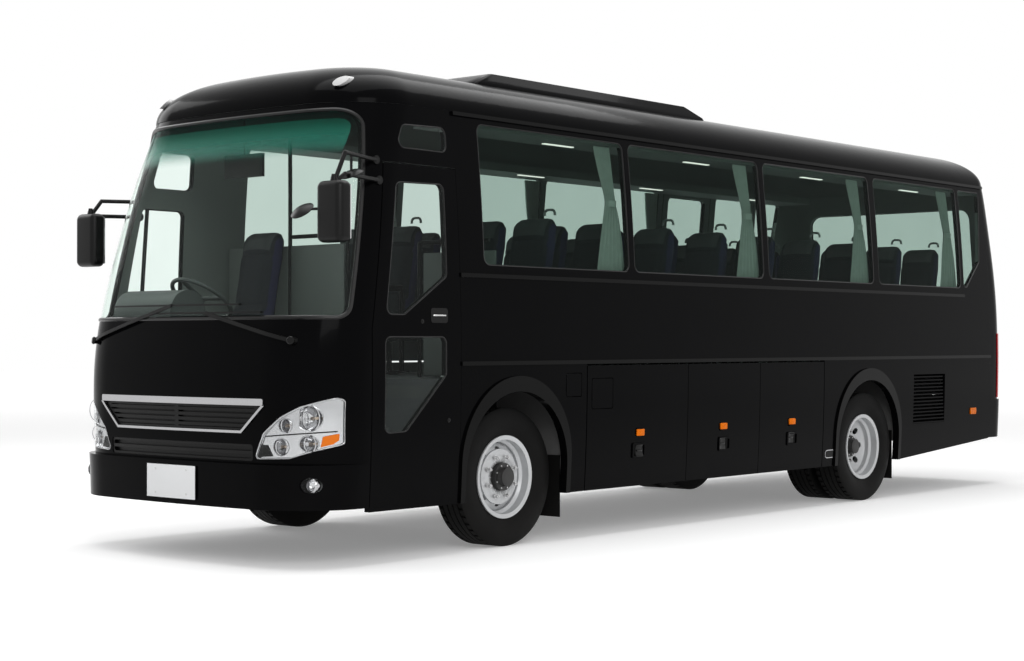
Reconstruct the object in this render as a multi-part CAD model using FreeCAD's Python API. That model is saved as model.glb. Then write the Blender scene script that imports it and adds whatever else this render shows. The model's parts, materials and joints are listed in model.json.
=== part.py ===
import FreeCAD
import Part
import math
import os

from FreeCAD import Vector

# A medium touring coach. The front faces -Y, +X is its left, entrance side, +Z is up.
# The origin is on the ground, under the middle of the coach. All lengths are in millimetres.

# Overall sizes
LENGTH = 8990.0
HALF_WIDTH = 1170.0
WHEELBASE = 4490.0
FRONT_OVERHANG = 1870.0
SKIRT_BOTTOM = 315.0
MOULDING_Z = 1178.0
BELT_Z = 1727.0
GUTTER_Z = 2745.0
CROWN_Z = 3035.0
BUMPER_REACH_FRONT = 48.0
BUMPER_REACH_REAR = 40.0

# Body surface
BARREL_RADIUS = 13800.0
RAKE_START_Z = 1150.0
RAKE_SETBACK = 428.0
RAKE_POWER = 1.386
REAR_RAKE_START_Z = 1500.0
REAR_RAKE_SETBACK = 150.0
FRONT_CORNER = 450.0
FRONT_BOW = 30.0
REAR_CORNER = 250.0
REAR_BOW = 25.0
CROWN_HALF = 520.0
BROW_SETBACK = 520.0
REAR_BROW_SETBACK = 380.0
CIRCLE_BEZIER_SHARE = 0.5523
SECTION_SHARES = (0.0, 0.18, 0.34, 0.44, 0.56, 0.7, 0.85, 1.0)
SHOULDER_STEPS = 6
WALL = 42.0
SEAT = 0.3
DOOR_GAP = 6.0
OVERRUN = 40.0

# Panel seams
SCREEN_SEAM_Z = 1388.0
CAP_SEAM_Y = -3171.0
REAR_SEAM_Y = 4080.0
BUMPER_TOP_Z = 603.0

# Axles
FRONT_NOSE_Y = BUMPER_REACH_FRONT - LENGTH / 2
REAR_FACE_Y = LENGTH / 2 - BUMPER_REACH_REAR
FRONT_AXLE_Y = FRONT_OVERHANG - LENGTH / 2
REAR_AXLE_Y = FRONT_AXLE_Y + WHEELBASE

# Entrance door opening, as places along and up the side
DOOR_REAR_Y = -3171.0
DOOR_FRONT_LOW_Y = -3950.0
DOOR_FRONT_TOP_Y = -3791.0
DOOR_TOP_Z = 2386.0
DOOR_REAR_GAP = 8.0
DOOR_WINDOW_RADIUS = 45.0
DOOR_HIGH_GLASS = ((-3830.0, 1475.0), (-3672.0, 1475.0), (-3292.0, 1712.0), (-3288.0, 2280.0),
                   (-3706.0, 2270.0))
DOOR_LOW_GLASS = ((-3838.0, 772.0), (-3655.0, 778.0), (-3305.0, 1112.0), (-3305.0, 1345.0),
                  (-3838.0, 1345.0))
TRANSOM_GLASS = ((-3682.0, 2478.0), (-3240.0, 2478.0), (-3240.0, 2632.0), (-3618.0, 2622.0))
DRIVER_GLASS = ((-3980.0, 1475.0), (-3490.0, 1475.0), (-3490.0, 2205.0), (-3865.0, 2205.0))
DRIVER_TOP_GLASS = ((-3790.0, 2345.0), (-3430.0, 2345.0), (-3430.0, 2595.0), (-3735.0, 2595.0))

# Windscreen, as seen from the side
SCREEN_BOTTOM_Z = 1455.0
SCREEN_TOP_Z = 2700.0
SCREEN_END_LOW_Y = -4095.0
SCREEN_END_TOP_Y = -3830.0
SCREEN_CORNER = 90.0
GLASS_DEPTH = 5.0
GLASS_THICKNESS = 6.0

# Side windows
WINDOW_BOTTOM_Z = 1795.0
WINDOW_TOP_Z = 2685.0
WINDOW_CORNER = 55.0
QUARTER_CORNER = 28.0
WINDOW_EDGES = ((-2944.0, -1425.0), (-1364.0, 285.0), (357.0, 1965.0), (2053.0, 3540.0))
RIGHT_REAR_WINDOW = (2890.0, 3540.0)
QUARTER_GLASS = ((3590.0, 1805.0), (3650.0, 1805.0), (3920.0, 2040.0), (4010.0, 2680.0), (3590.0, 2680.0))

# Emergency door, on the right
EMERGENCY_FRONT_Y = 2040.0
EMERGENCY_REAR_Y = 2800.0
EMERGENCY_BOTTOM_Z = 1196.0
EMERGENCY_TOP_Z = 2708.0
EMERGENCY_FRAME = 85.0

# Skirt, lids and flaps
SKIRT_TOP_Z = 1166.0
SKIRT_RISE_Y = 2420.0
SKIRT_REAR_BOTTOM_Z = 428.0
LID_SEAMS = (-1913.0, -740.0, 208.0, 1142.0)
LID_TOP_Z = 1154.0
FUEL_FLAP = ((-1864.0, 860.0), (-1628.0, 1070.0))
SERVICE_FLAP = ((-2140.0, 948.0), (-1972.0, 1108.0))
FLAP_CORNER = 12.0
FLAP_THICKNESS = 3.0
FLAP_GAP = 5.0
FLAP_BARREL = 4.0
FLAP_BARREL_LENGTH = 90.0
LOUVRE = ((2612.0, 592.0), (3214.0, 1048.0))
LOUVRE_SLATS = 14
LOUVRE_FRAME = 16.0
LOUVRE_DEPTH = 26.0
LEAF_SHARE = 0.35
LEAF_RISE_SHARE = 0.5
HANDLE_WIDTH = 150.0
HANDLE_HEIGHT = 105.0
HANDLE_Z = 562.0
HANDLE_RING = 16.0
HANDLE_REACH = 9.0

# Wheel arches
ARCH_RADIUS = 497.0
ARCH_CENTRE_Z = 500.0
FLARE_RADIUS = 540.0
FLARE_CENTRE_Z = 556.0
FLARE_REACH = 16.0
HOUSE_HALF_LENGTH = 534.0
HOUSE_SHEET = 8.0
HOUSE_INNER_X = 520.0
HOUSE_BOTTOM_Z = 470.0
FLAP_SHEET = 8.0
MUD_FLAP_WIDTH = 250.0
MUD_FLAP_BOTTOM_Z = 150.0

# Front end
INTAKE_HALF = 660.0
INTAKE_BOTTOM_Z = 618.0
INTAKE_TOP_Z = 716.0
INTAKE_CORNER = 18.0
INTAKE_SLAT_SHARE = 0.2
GRILLE_TOP_HALF = 742.0
GRILLE_BOTTOM_HALF = 575.0
GRILLE_TOP_Z = 943.0
GRILLE_BOTTOM_Z = 795.0
GRILLE_CORNER = 16.0
GRILLE_FRAME = 14.0
GRILLE_SLATS = 4
SLAT_SHARE = 0.62
GRILLE_DEPTH = 34.0
GRILLE_BACK = 12.0
GRILLE_POST = 34.0
CHROME_HEIGHT = 40.0
CHROME_HALF = 755.0
CHROME_REACH = 12.0
CHROME_STRIP = 15.0
LAMP_OUTLINE = ((670.0, 631.0), (909.0, 639.0), (1131.0, 719.0), (1139.0, 1000.0), (969.0, 940.0),
                (862.0, 880.0), (742.0, 781.0))
LAMP_CORNER = 22.0
LAMP_DEPTH = 120.0
LAMP_RECESS = 16.0
LENS_THICKNESS = 4.0
REFLECTORS = ((1010.0, 872.0, 74.0), (880.0, 830.0, 42.0), (1000.0, 724.0, 50.0), (850.0, 706.0, 50.0))
REFLECTOR_DEPTH = 70.0
FOG_X = 1030.0
FOG_Z = 487.0
FOG_RADIUS = 46.0
FOG_DEPTH = 60.0
FRONT_BUMPER_BOTTOM_Z = 342.0

# Rear end
REAR_BUMPER_BOTTOM_Z = 433.0
REAR_BUMPER_TOP_Z = 784.0
REAR_WINDOW_HALF = 860.0
REAR_WINDOW_BOTTOM_Z = 1780.0
REAR_WINDOW_TOP_Z = 2560.0
REAR_WINDOW_CORNER = 110.0
ENGINE_LID_HALF = 700.0
ENGINE_LID_BOTTOM_Z = 800.0
ENGINE_LID_TOP_Z = 1480.0
ENGINE_LID_CORNER = 60.0
TAIL_LAMP_Y = 4225.0
TAIL_LAMP_LENGTH = 110.0
TAIL_LAMP_BOTTOM_Z = 800.0
TAIL_LAMP_TOP_Z = 1390.0
TAIL_LAMP_REACH = 9.0

# Roof unit
UNIT_FRONT_Y = -2570.0
UNIT_REAR_Y = 180.0
UNIT_HALF = 730.0
UNIT_TOP_Z = 3110.0
UNIT_SLOPE = 240.0
UNIT_ROUND = 28.0
UNIT_BASE_Z = 2960.0

# Trims on the sides
MOULDING_HEIGHT = 26.0
MOULDING_REACH = 11.0
BELT_END_Y = 3580.0
GUTTER_HEIGHT = 24.0
GUTTER_REACH = 16.0
MARKER_LENGTH = 108.0
MARKER_HEIGHT = 56.0
MARKER_Z = 688.0
MARKER_YS = (-1298.0, -270.0, 677.0, 3746.0)
CLEARANCE_LAMP_RADIUS = 34.0
CLEARANCE_LAMP_X = 830.0
CLEARANCE_LAMP_Z = 2880.0
CLEARANCE_LAMP_REACH = 22.0

# Running gear
TYRE_RADIUS = 445.0
TYRE_WIDTH = 240.0
TYRE_BEAD_RADIUS = 250.0
TYRE_BULGE_RADIUS = 352.0
TREAD_HALF = 103.0
RIM_FLANGE_RADIUS = 267.0
RIM_HALF = 88.0
RIM_SHEET = 10.0
RIM_WELL_RADIUS = 222.0
DISC_RADIUS = 212.0
HAND_HOLES = 8
HAND_HOLE_RADIUS = 27.0
HAND_HOLE_CIRCLE = 168.0
HUB_RADIUS = 120.0
HUB_CAP_RADIUS = 62.0
FRONT_TRACK = 1905.0
REAR_TRACK = 1725.0
TWIN_SPACING = 280.0
FRONT_DISC_SET = 62.0
REAR_DISC_SET = 58.0
DRUM_RADIUS = 178.0
DRUM_WALL = 14.0
KINGPIN_X = 770.0
KINGPIN_RADIUS = 20.0
EYE_RADIUS = 42.0
EYE_HALF = 36.0
EAR_THICKNESS = 26.0
SPINDLE_RADIUS = 34.0
RUNNING_GAP = 0.5
BEAM_DROP = 85.0
BEAM_HALF = 38.0
AXLE_TUBE_RADIUS = 58.0
DIFFERENTIAL_RADIUS = 175.0
BELLOWS_RADIUS = 85.0

# Underframe
RAIL_X = 420.0
RAIL_WIDTH = 70.0
RAIL_BOTTOM_Z = 620.0
RAIL_HEIGHT = 190.0
RAIL_SHEET = 8.0
RAIL_FRONT_Y = -4200.0
RAIL_REAR_Y = 4330.0
MEMBER_HEIGHT = 90.0
MEMBER_WIDTH = 60.0
BAY_BOTTOM_Z = 400.0
BAY_SHEET = 12.0
BAY_INNER_X = 475.0
BAY_OUTER_GAP = 16.0
ENGINE_FRONT_Y = 2950.0
ENGINE_REAR_Y = 4180.0
ENGINE_HALF = 360.0
ENGINE_BOTTOM_Z = 420.0
ENGINE_TOP_Z = 1020.0
GEARBOX_FRONT_Y = 2500.0
GEARBOX_RADIUS = 190.0

# Floor and steps
FLOOR_Z = 1080.0
FLOOR_THICKNESS = 40.0
PLATFORM_Z = 960.0
PLATFORM_EDGE_X = 310.0
STEP_RISE = 187.0
STEP_GOING = 262.0
STEP_SHEET = 20.0
STEP_DOOR_GAP = 22.0
STEP_FRONT_Y = -3935.0
STEP_REAR_Y = -3184.0

# Door gear
POST_X = 1000.0
POST_Y = -3800.0
POST_RADIUS = 18.0
POST_TOP_Z = 2430.0
ARM_LENGTH = 380.0
ARM_LEAN = 30.0
ARM_ZS = (600.0, 1408.0)
ARM_HEIGHT = 26.0
ARM_WIDTH = 22.0
SLEEVE_WALL = 7.0
PIN_RADIUS = 9.0
BRACKET_THICKNESS = 12.0
BRACKET_WIDTH = 44.0

# Cabin
SEAT_PITCH = 680.0
SEAT_ROWS = 9
FIRST_SEAT_Y = -2600.0
SEAT_PAIR_WIDTH = 890.0
SEAT_CUSHION_Z = 1480.0
SEAT_TOP_Z = 2190.0
SEAT_LENGTH = 480.0
SEAT_WALL_GAP = 30.0
RACK_Z = 2665.0
RACK_WIDTH = 330.0
RACK_SHEET = 20.0
CURTAIN_TOP_Z = 2655.0
CURTAIN_TIE_Z = 2265.0
CURTAIN_HEM_Z = 1790.0
CURTAIN_TOP = (-240.0, -60.0)
CURTAIN_TIE = (-132.0, -42.0)
CURTAIN_HEM = (-283.0, 30.0)
CURTAIN_DEPTH = 22.0
DASH_TOP_Z = 1440.0
DASH_DEPTH = 430.0
STEERING_X = -560.0
STEERING_Y = -3785.0
STEERING_Z = 1595.0
STEERING_RADIUS = 210.0
STEERING_TUBE = 14.0
STEERING_TILT = 35.0
COLUMN_LENGTH = 440.0
HOOD_TOP_Z = 1640.0
HOOD_RADIUS = 140.0
HOOD_HALF = 285.0
HOOD_Y = -4130.0
SEAT_BACK_SHARE = 0.28
SEAT_THICK_SHARE = 0.3
SEAT_LEAN_SHARE = 0.3
SEAT_DIP_SHARE = 0.07
DRIVER_SEAT_SHARE = 0.58
DRIVER_CUSHION_Z = 1385.0
DRIVER_SEAT_TOP_Z = 2020.0
DRIVER_SEAT_Y = -3780.0
IN_MIRROR_WIDTH = 350.0
IN_MIRROR_HEIGHT = 145.0
IN_MIRROR_SHEET = 24.0
IN_MIRROR_Y = -3920.0
IN_MIRROR_Z = 2343.0

# Outside mirrors and wipers
MIRROR_ARM_RADIUS = 13.0
MIRROR_X = 1255.0
MIRROR_LEFT_Y = -4340.0
MIRROR_LEFT_Z = 2050.0
MIRROR_RIGHT_Y = -4150.0
MIRROR_RIGHT_Z = 1985.0
MIRROR_WIDTH = 200.0
MIRROR_DEPTH = 110.0
MIRROR_HEIGHT = 350.0
MIRROR_ROUND_SHARE = 0.35
MIRROR_ROOT_Y = -3835.0
MIRROR_LEFT_ROOT_ZS = (2270.0, 2392.0)
MIRROR_RIGHT_ROOT_ZS = (2150.0, 2250.0)
ROUND_MIRROR_RADIUS = 72.0
ROUND_MIRROR_DOME = 130.0
ROUND_MIRROR_DEPTH = 26.0
ROUND_MIRROR_STEM = 8.0
HANGING_MIRROR_Y = -4170.0
HANGING_MIRROR_Z = 2285.0
KERB_MIRROR_X = 1060.0
KERB_MIRROR_Y = -4408.0
KERB_MIRROR_Z = 2068.0
BOOT_RADIUS = 26.0
BOOT_HEIGHT = 50.0
WIPER_PIVOTS = (-924.0, 924.0)
WIPER_PIVOT_Z = 1322.0
WIPER_BLADES = ((-701.0, 503.0, 1535.0), (-238.0, 690.0, 1487.0))
WIPER_WIDTH = 22.0
WIPER_REACH = 24.0
WIPER_BOSS = 21.0

NODES = {}


# Outlines and solids
def on_side(x):
    """Places an outline drawn along and up the side at this x."""
    return lambda u, v: Vector(x, u, v)


def on_front(y):
    """Places an outline drawn across and up the front at this y."""
    return lambda u, v: Vector(u, y, v)


def on_floor(z):
    """Places an outline drawn across and along the floor at this z."""
    return lambda u, v: Vector(u, v, z)


def outline(points, place, radius=0.0):
    """A closed face with straight sides and, where a radius is given, rounded corners."""
    corners = [place(u, v) for u, v in points]
    if not radius:
        return Part.Face(Part.makePolygon(corners + corners[:1]))
    ends = []
    for index, corner in enumerate(corners):
        back = (corners[index - 1] - corner).normalize()
        ahead = (corners[(index + 1) % len(corners)] - corner).normalize()
        half = back.getAngle(ahead) / 2
        reach = radius / math.tan(half)
        middle = (back + ahead).normalize() * (radius / math.sin(half) - radius)
        ends.append((corner + back * reach, corner + middle, corner + ahead * reach))
    edges = []
    for index, (start, middle, end) in enumerate(ends):
        edges.append(Part.Arc(start, middle, end).toShape())
        edges.append(Part.makeLine(end, ends[(index + 1) % len(ends)][0]))
    return Part.Face(Part.Wire(edges))


def box(low, high):
    """A box from its lowest corner to its highest."""
    size = [top - bottom for bottom, top in zip(low, high)]
    return Part.makeBox(size[0], size[1], size[2], Vector(*low))


def rectangle(u_low, v_low, u_high, v_high):
    """The four corners of a rectangle."""
    return ((u_low, v_low), (u_high, v_low), (u_high, v_high), (u_low, v_high))


def centred(u, v, width, height):
    """The four corners of a rectangle round its middle."""
    return rectangle(u - width / 2, v - height / 2, u + width / 2, v + height / 2)


def across(points, side, radius=0.0):
    """An outline drawn on the side, taken from the middle out past the left (1) or the right (-1)."""
    reach = side * (HALF_WIDTH + OVERRUN)
    return outline(points, on_side(0.0), radius).extrude(Vector(reach, 0, 0))


def through(points, radius=0.0):
    """An outline drawn on the side, taken through the whole width."""
    reach = HALF_WIDTH + OVERRUN
    return outline(points, on_side(-reach), radius).extrude(Vector(2 * reach, 0, 0))


def into_front(points, radius=0.0):
    """An outline drawn on the front, taken back as far as the door."""
    nose = -LENGTH / 2 - OVERRUN
    return outline(points, on_front(nose), radius).extrude(Vector(0, DOOR_FRONT_LOW_Y - nose, 0))


def into_rear(points, radius=0.0):
    """An outline drawn on the rear, taken forward as far as the side walls."""
    tail = LENGTH / 2 + OVERRUN
    return outline(points, on_front(tail), radius).extrude(Vector(0, REAR_SEAM_Y - tail, 0))


def mirrored(shape):
    """The same shape on the other side."""
    return shape.mirror(Vector(0, 0, 0), Vector(1, 0, 0))


def grown(points, amount):
    """A convex or nearly convex outline, each side moved outward by amount."""
    turn = sum(a[0] * b[1] - b[0] * a[1] for a, b in zip(points, points[1:] + points[:1]))
    sign = 1 if turn > 0 else -1
    moved = []
    for index, corner in enumerate(points):
        before = points[index - 1]
        after = points[(index + 1) % len(points)]
        lines = []
        for start, end in ((before, corner), (corner, after)):
            run = math.hypot(end[0] - start[0], end[1] - start[1])
            normal = (sign * (end[1] - start[1]) / run, -sign * (end[0] - start[0]) / run)
            offset = normal[0] * corner[0] + normal[1] * corner[1] + amount
            lines.append((normal[0], normal[1], offset))
        (a, b, c), (d, e, f) = lines
        spread = a * e - b * d
        moved.append(((c * e - b * f) / spread, (a * f - c * d) / spread))
    return tuple(moved)


def revolved_x(points, centre_x, axis_y, axis_z):
    """Turns a closed profile of (x from the centre, radius) about a wheel's axis."""
    corners = [Vector(centre_x + x, axis_y, axis_z + r) for x, r in points]
    face = Part.Face(Part.makePolygon(corners + corners[:1]))
    return face.revolve(Vector(centre_x, axis_y, axis_z), Vector(1, 0, 0), 360)


def cylinder(start, end, radius):
    """A round bar between two points."""
    run = end - start
    return Part.makeCylinder(radius, run.Length, start, run)


def keep(name, *shapes):
    """Adds solids to a node."""
    solids = [solid for shape in shapes for solid in shape.Solids]
    NODES.setdefault(name, []).extend(solids)


# Body surface
def barrel(z):
    """How far the side leans in at height z."""
    rise = z - MOULDING_Z
    return BARREL_RADIUS - math.sqrt(BARREL_RADIUS ** 2 - rise ** 2)


def raked(z, start_z, setback):
    """How far a raked end leans in at height z."""
    if z <= start_z:
        return 0.0
    return setback * ((z - start_z) / (GUTTER_Z - start_z)) ** RAKE_POWER


def plan_wire(z, half, front, rear, front_corner, rear_corner):
    """One level of the body: bowed ends, straight sides and smooth corners."""
    edges = []
    corners = []
    for end, bow, radius, way in ((front, FRONT_BOW, front_corner, 1), (rear, REAR_BOW, rear_corner, -1)):
        bow_half = half - radius
        bow_y = end + way * bow
        slope = math.atan2(2 * bow, bow_half)
        pull = CIRCLE_BEZIER_SHARE * radius
        side_y = bow_y + way * radius
        for side in (1, -1):
            curve = Part.BezierCurve()
            curve.setPoles([
                Vector(side * bow_half, bow_y, z),
                Vector(side * (bow_half + pull * math.cos(slope)), bow_y + way * pull * math.sin(slope), z),
                Vector(side * half, side_y - way * pull, z),
                Vector(side * half, side_y, z)])
            corners.append(curve.toShape())
        bow_ends = Vector(-bow_half, bow_y, z), Vector(bow_half, bow_y, z)
        edges.append(Part.Arc(bow_ends[0], Vector(0, end, z), bow_ends[1]).toShape())
    front_left, front_right, rear_left, rear_right = corners
    left = Part.makeLine(front_left.Vertexes[-1].Point, rear_left.Vertexes[-1].Point)
    right = Part.makeLine(rear_right.Vertexes[-1].Point, front_right.Vertexes[-1].Point)
    order = (edges[0], front_left, left, rear_left, edges[1], rear_right, right, front_right)
    return Part.Wire(Part.__sortEdges__(list(order)))


def side_wire(z, inset):
    """The body's level at height z, moved inward by inset."""
    front = FRONT_NOSE_Y + raked(z, RAKE_START_Z, RAKE_SETBACK) + inset
    rear = REAR_FACE_Y - raked(z, REAR_RAKE_START_Z, REAR_RAKE_SETBACK) - inset
    half = HALF_WIDTH - barrel(z) - inset
    return plan_wire(z, half, front, rear, FRONT_CORNER - inset, REAR_CORNER - inset)


def roof_wire(share, inset):
    """A level of the domed roof, from the gutter (share 0) to the crown (share 1)."""
    lean = 1 - math.cos(share * math.pi / 2)
    z = GUTTER_Z + (CROWN_Z - inset - GUTTER_Z) * math.sin(share * math.pi / 2)
    gutter_half = HALF_WIDTH - barrel(GUTTER_Z) - inset
    half = gutter_half - (gutter_half - CROWN_HALF) * lean
    front = FRONT_NOSE_Y + RAKE_SETBACK + inset + (BROW_SETBACK - inset) * lean
    rear = REAR_FACE_Y - REAR_RAKE_SETBACK - inset - (REAR_BROW_SETBACK - inset) * lean
    shrink = 1 - lean / 2
    return plan_wire(z, half, front, rear, (FRONT_CORNER - inset) * shrink, (REAR_CORNER - inset) * shrink)


SHAPES = {}


def lower_solid(inset):
    """The body below the gutter, moved inward by inset, with an overrun above and below."""
    key = ("lower", inset)
    if key not in SHAPES:
        low = SKIRT_BOTTOM - OVERRUN
        span = GUTTER_Z + OVERRUN - low
        wires = [side_wire(low + span * share, inset) for share in SECTION_SHARES]
        SHAPES[key] = Part.makeLoft(wires, True, False)
    return SHAPES[key]


def roof_solid(inset):
    """The domed roof above the gutter, moved inward by inset."""
    key = ("roof", inset)
    if key not in SHAPES:
        wires = [roof_wire(step / SHOULDER_STEPS, inset) for step in range(SHOULDER_STEPS + 1)]
        SHAPES[key] = Part.makeLoft(wires, True, False)
    return SHAPES[key]


def skin(outer, inner):
    """The layer of the body below the gutter between two insets."""
    key = ("skin", outer, inner)
    if key not in SHAPES:
        band = box((-LENGTH, -LENGTH, SKIRT_BOTTOM), (LENGTH, LENGTH, GUTTER_Z))
        SHAPES[key] = lower_solid(outer).common(band).cut(lower_solid(inner))
    return SHAPES[key]


# Body panels
def door_outline(gap, rear_gap=0.0):
    """The entrance opening, or the door when a gap is taken off its edges."""
    rear = DOOR_REAR_Y - rear_gap
    points = ((DOOR_FRONT_LOW_Y, SKIRT_BOTTOM - gap), (rear + gap, SKIRT_BOTTOM - gap),
              (rear + gap, DOOR_TOP_Z), (DOOR_FRONT_TOP_Y, DOOR_TOP_Z), (DOOR_FRONT_LOW_Y, SCREEN_SEAM_Z))
    return grown(points, -gap) if gap else points


def screen_outline(amount=0.0):
    """The windscreen from the side, open past the nose."""
    nose = -LENGTH / 2 - OVERRUN
    points = ((nose, SCREEN_BOTTOM_Z), (SCREEN_END_LOW_Y, SCREEN_BOTTOM_Z),
              (SCREEN_END_TOP_Y, SCREEN_TOP_Z), (nose, SCREEN_TOP_Z))
    return grown(points, amount) if amount else points


def windows(side):
    """The outlines of one side's fixed windows, each with its corner radius."""
    edges = WINDOW_EDGES if side > 0 else WINDOW_EDGES[:-1] + (RIGHT_REAR_WINDOW,)
    outlines = [(rectangle(front, WINDOW_BOTTOM_Z, rear, WINDOW_TOP_Z), WINDOW_CORNER)
                for front, rear in edges]
    return outlines + [(QUARTER_GLASS, QUARTER_CORNER)]


def emergency_outline():
    """The emergency opening."""
    return rectangle(EMERGENCY_FRONT_Y, EMERGENCY_BOTTOM_Z, EMERGENCY_REAR_Y, EMERGENCY_TOP_Z)


def side_walls():
    """The upper walls, from the skirt line to the gutter, with their windows cut."""
    for side, name in ((1, "side_wall_left"), (-1, "side_wall_right")):
        area = rectangle(CAP_SEAM_Y + SEAT, SKIRT_TOP_Z, REAR_SEAM_Y, GUTTER_Z)
        wall = skin(0.0, WALL).common(across(area, side))
        cuts = [across(points, side, radius) for points, radius in windows(side)]
        if side < 0:
            cuts.append(across(emergency_outline(), side))
        keep(name, wall.cut(cuts))


def glass_sheet(opening):
    """A pane that lies in its opening, just under the outer face."""
    return skin(GLASS_DEPTH, GLASS_DEPTH + GLASS_THICKNESS).common(opening)


def side_glass():
    """The fixed side windows."""
    for side in (1, -1):
        for points, radius in windows(side):
            keep("body_glass", glass_sheet(across(grown(points, -SEAT), side, radius)))


def cab_frame():
    """The windscreen frame with its pillars, the transom and the driver's window surround."""
    area = rectangle(-LENGTH / 2 - OVERRUN, SCREEN_SEAM_Z, CAP_SEAM_Y, GUTTER_Z)
    frame = skin(0.0, WALL).common(through(area))
    cuts = [through(screen_outline(), SCREEN_CORNER), across(door_outline(0.0), 1),
            across(TRANSOM_GLASS, 1, DOOR_WINDOW_RADIUS)]
    cuts += [across(points, -1, DOOR_WINDOW_RADIUS) for points in (DRIVER_GLASS, DRIVER_TOP_GLASS)]
    keep("cab_frame", frame.cut(cuts))
    keep("windscreen", glass_sheet(through(screen_outline(-SEAT), SCREEN_CORNER)))
    for points, side in ((TRANSOM_GLASS, 1), (DRIVER_GLASS, -1), (DRIVER_TOP_GLASS, -1)):
        keep("body_glass", glass_sheet(across(grown(points, -SEAT), side, DOOR_WINDOW_RADIUS)))


def lamp_prism(amount):
    """The headlamp outline taken through the front corner."""
    return into_front(grown(LAMP_OUTLINE, amount), LAMP_CORNER)


def grille_outline(amount=0.0):
    """The grille opening."""
    points = ((-GRILLE_BOTTOM_HALF, GRILLE_BOTTOM_Z), (GRILLE_BOTTOM_HALF, GRILLE_BOTTOM_Z),
              (GRILLE_TOP_HALF, GRILLE_TOP_Z), (-GRILLE_TOP_HALF, GRILLE_TOP_Z))
    return grown(points, amount) if amount else points


def intake_outline():
    """The lower air intake."""
    return rectangle(-INTAKE_HALF, INTAKE_BOTTOM_Z, INTAKE_HALF, INTAKE_TOP_Z)


def front_panel():
    """The nose, with its grille, intake and headlamp openings."""
    nose = -LENGTH / 2 - OVERRUN
    area = rectangle(nose, BUMPER_TOP_Z + SEAT, DOOR_FRONT_LOW_Y, SCREEN_SEAM_Z - SEAT)
    panel = skin(0.0, WALL).common(through(area))
    lamp = lamp_prism(0.0)
    cuts = [into_front(grille_outline(), GRILLE_CORNER), into_front(intake_outline(), INTAKE_CORNER),
            lamp, mirrored(lamp)]
    keep("front_panel", panel.cut(cuts))


def bars(low, high, count, share):
    """The edges of evenly spaced bars that take up this share of a span."""
    pitch = (high - low) / count
    margin = pitch * (1 - share) / 2
    return [(low + pitch * step + margin, low + pitch * (step + 1) - margin) for step in range(count)]


def slatted(points, radius, slats, posts):
    """A framed opening in the nose with its slats and posts, over a closed backing."""
    opening = into_front(grown(points, -SEAT), radius)
    low = min(v for u, v in points)
    high = max(v for u, v in points)
    reach = max(u for u, v in points)
    bands = [into_front(rectangle(-reach, bottom, reach, top)) for bottom, top in slats]
    bands += [into_front(rectangle(u - GRILLE_POST / 2, low, u + GRILLE_POST / 2, high)) for u in posts]
    frame = opening.cut(into_front(grown(points, -GRILLE_FRAME), radius))
    face = frame.fuse([band.common(opening) for band in bands])
    back = GLASS_DEPTH + GRILLE_DEPTH
    return skin(GLASS_DEPTH, back).common(face).fuse(skin(back - GRILLE_BACK, back).common(opening))


def grille():
    """The grille with level slats and a centre post, and the lower intake with one slat."""
    inner_low = GRILLE_BOTTOM_Z + GRILLE_FRAME
    slats = bars(inner_low, GRILLE_TOP_Z - GRILLE_FRAME, GRILLE_SLATS, SLAT_SHARE)
    keep("grille", slatted(grille_outline(), GRILLE_CORNER, slats, (0.0,)))
    slat = bars(INTAKE_BOTTOM_Z, INTAKE_TOP_Z, 1, INTAKE_SLAT_SHARE)
    keep("grille", slatted(intake_outline(), INTAKE_CORNER, slat, ()))


def grille_trim():
    """The bright bar over the grille and the bright strip round its lower sides."""
    bar = rectangle(-CHROME_HALF, GRILLE_TOP_Z + SEAT, CHROME_HALF, GRILLE_TOP_Z + CHROME_HEIGHT)
    layer = skin(-CHROME_REACH, -SEAT)
    strip = into_front(grille_outline(CHROME_STRIP)).cut([into_front(grille_outline()), into_front(
        rectangle(-HALF_WIDTH, GRILLE_TOP_Z, HALF_WIDTH, GUTTER_Z))])
    keep("grille_trim", layer.common(into_front(bar, CHROME_HEIGHT / 4)), layer.common(strip))


def headlamps():
    """The lamp housings with their reflector bowls, behind clear lenses."""
    body = skin(LAMP_RECESS, LAMP_DEPTH).common(lamp_prism(-SEAT))
    edge = lamp_prism(-SEAT).cut(lamp_prism(-LENS_THICKNESS))
    rim = skin(LENS_THICKNESS + SEAT, LAMP_RECESS).common(edge)
    bowls = []
    for x, z, radius in REFLECTORS:
        face = Vector(x, lamp_face_y(x, z), z)
        bowls.append(Part.makeCone(radius, radius / 2, REFLECTOR_DEPTH, face, Vector(0, 1, 0)))
        bowls.append(Part.makeCylinder(radius, WALL, face - Vector(0, WALL, 0), Vector(0, 1, 0)))
    housing = body.cut(bowls).fuse(rim)
    lens = skin(0.0, LENS_THICKNESS).common(lamp_prism(-SEAT))
    keep("headlamp_housings", housing, mirrored(housing))
    keep("headlamp_lenses", lens, mirrored(lens))


def lamp_rooms():
    """The room that both headlamp housings take up behind the nose."""
    room = skin(0.0, LAMP_DEPTH + SEAT).common(lamp_prism(SEAT))
    return [room, mirrored(room)]


def lamp_face_y(x, z):
    """How far forward the floor of the lamp reaches at this place."""
    ray = Part.makeLine(Vector(x, -LENGTH, z), Vector(x, 0, z))
    hit = ray.common(lower_solid(LAMP_RECESS))
    return hit.BoundBox.YMin


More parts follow.
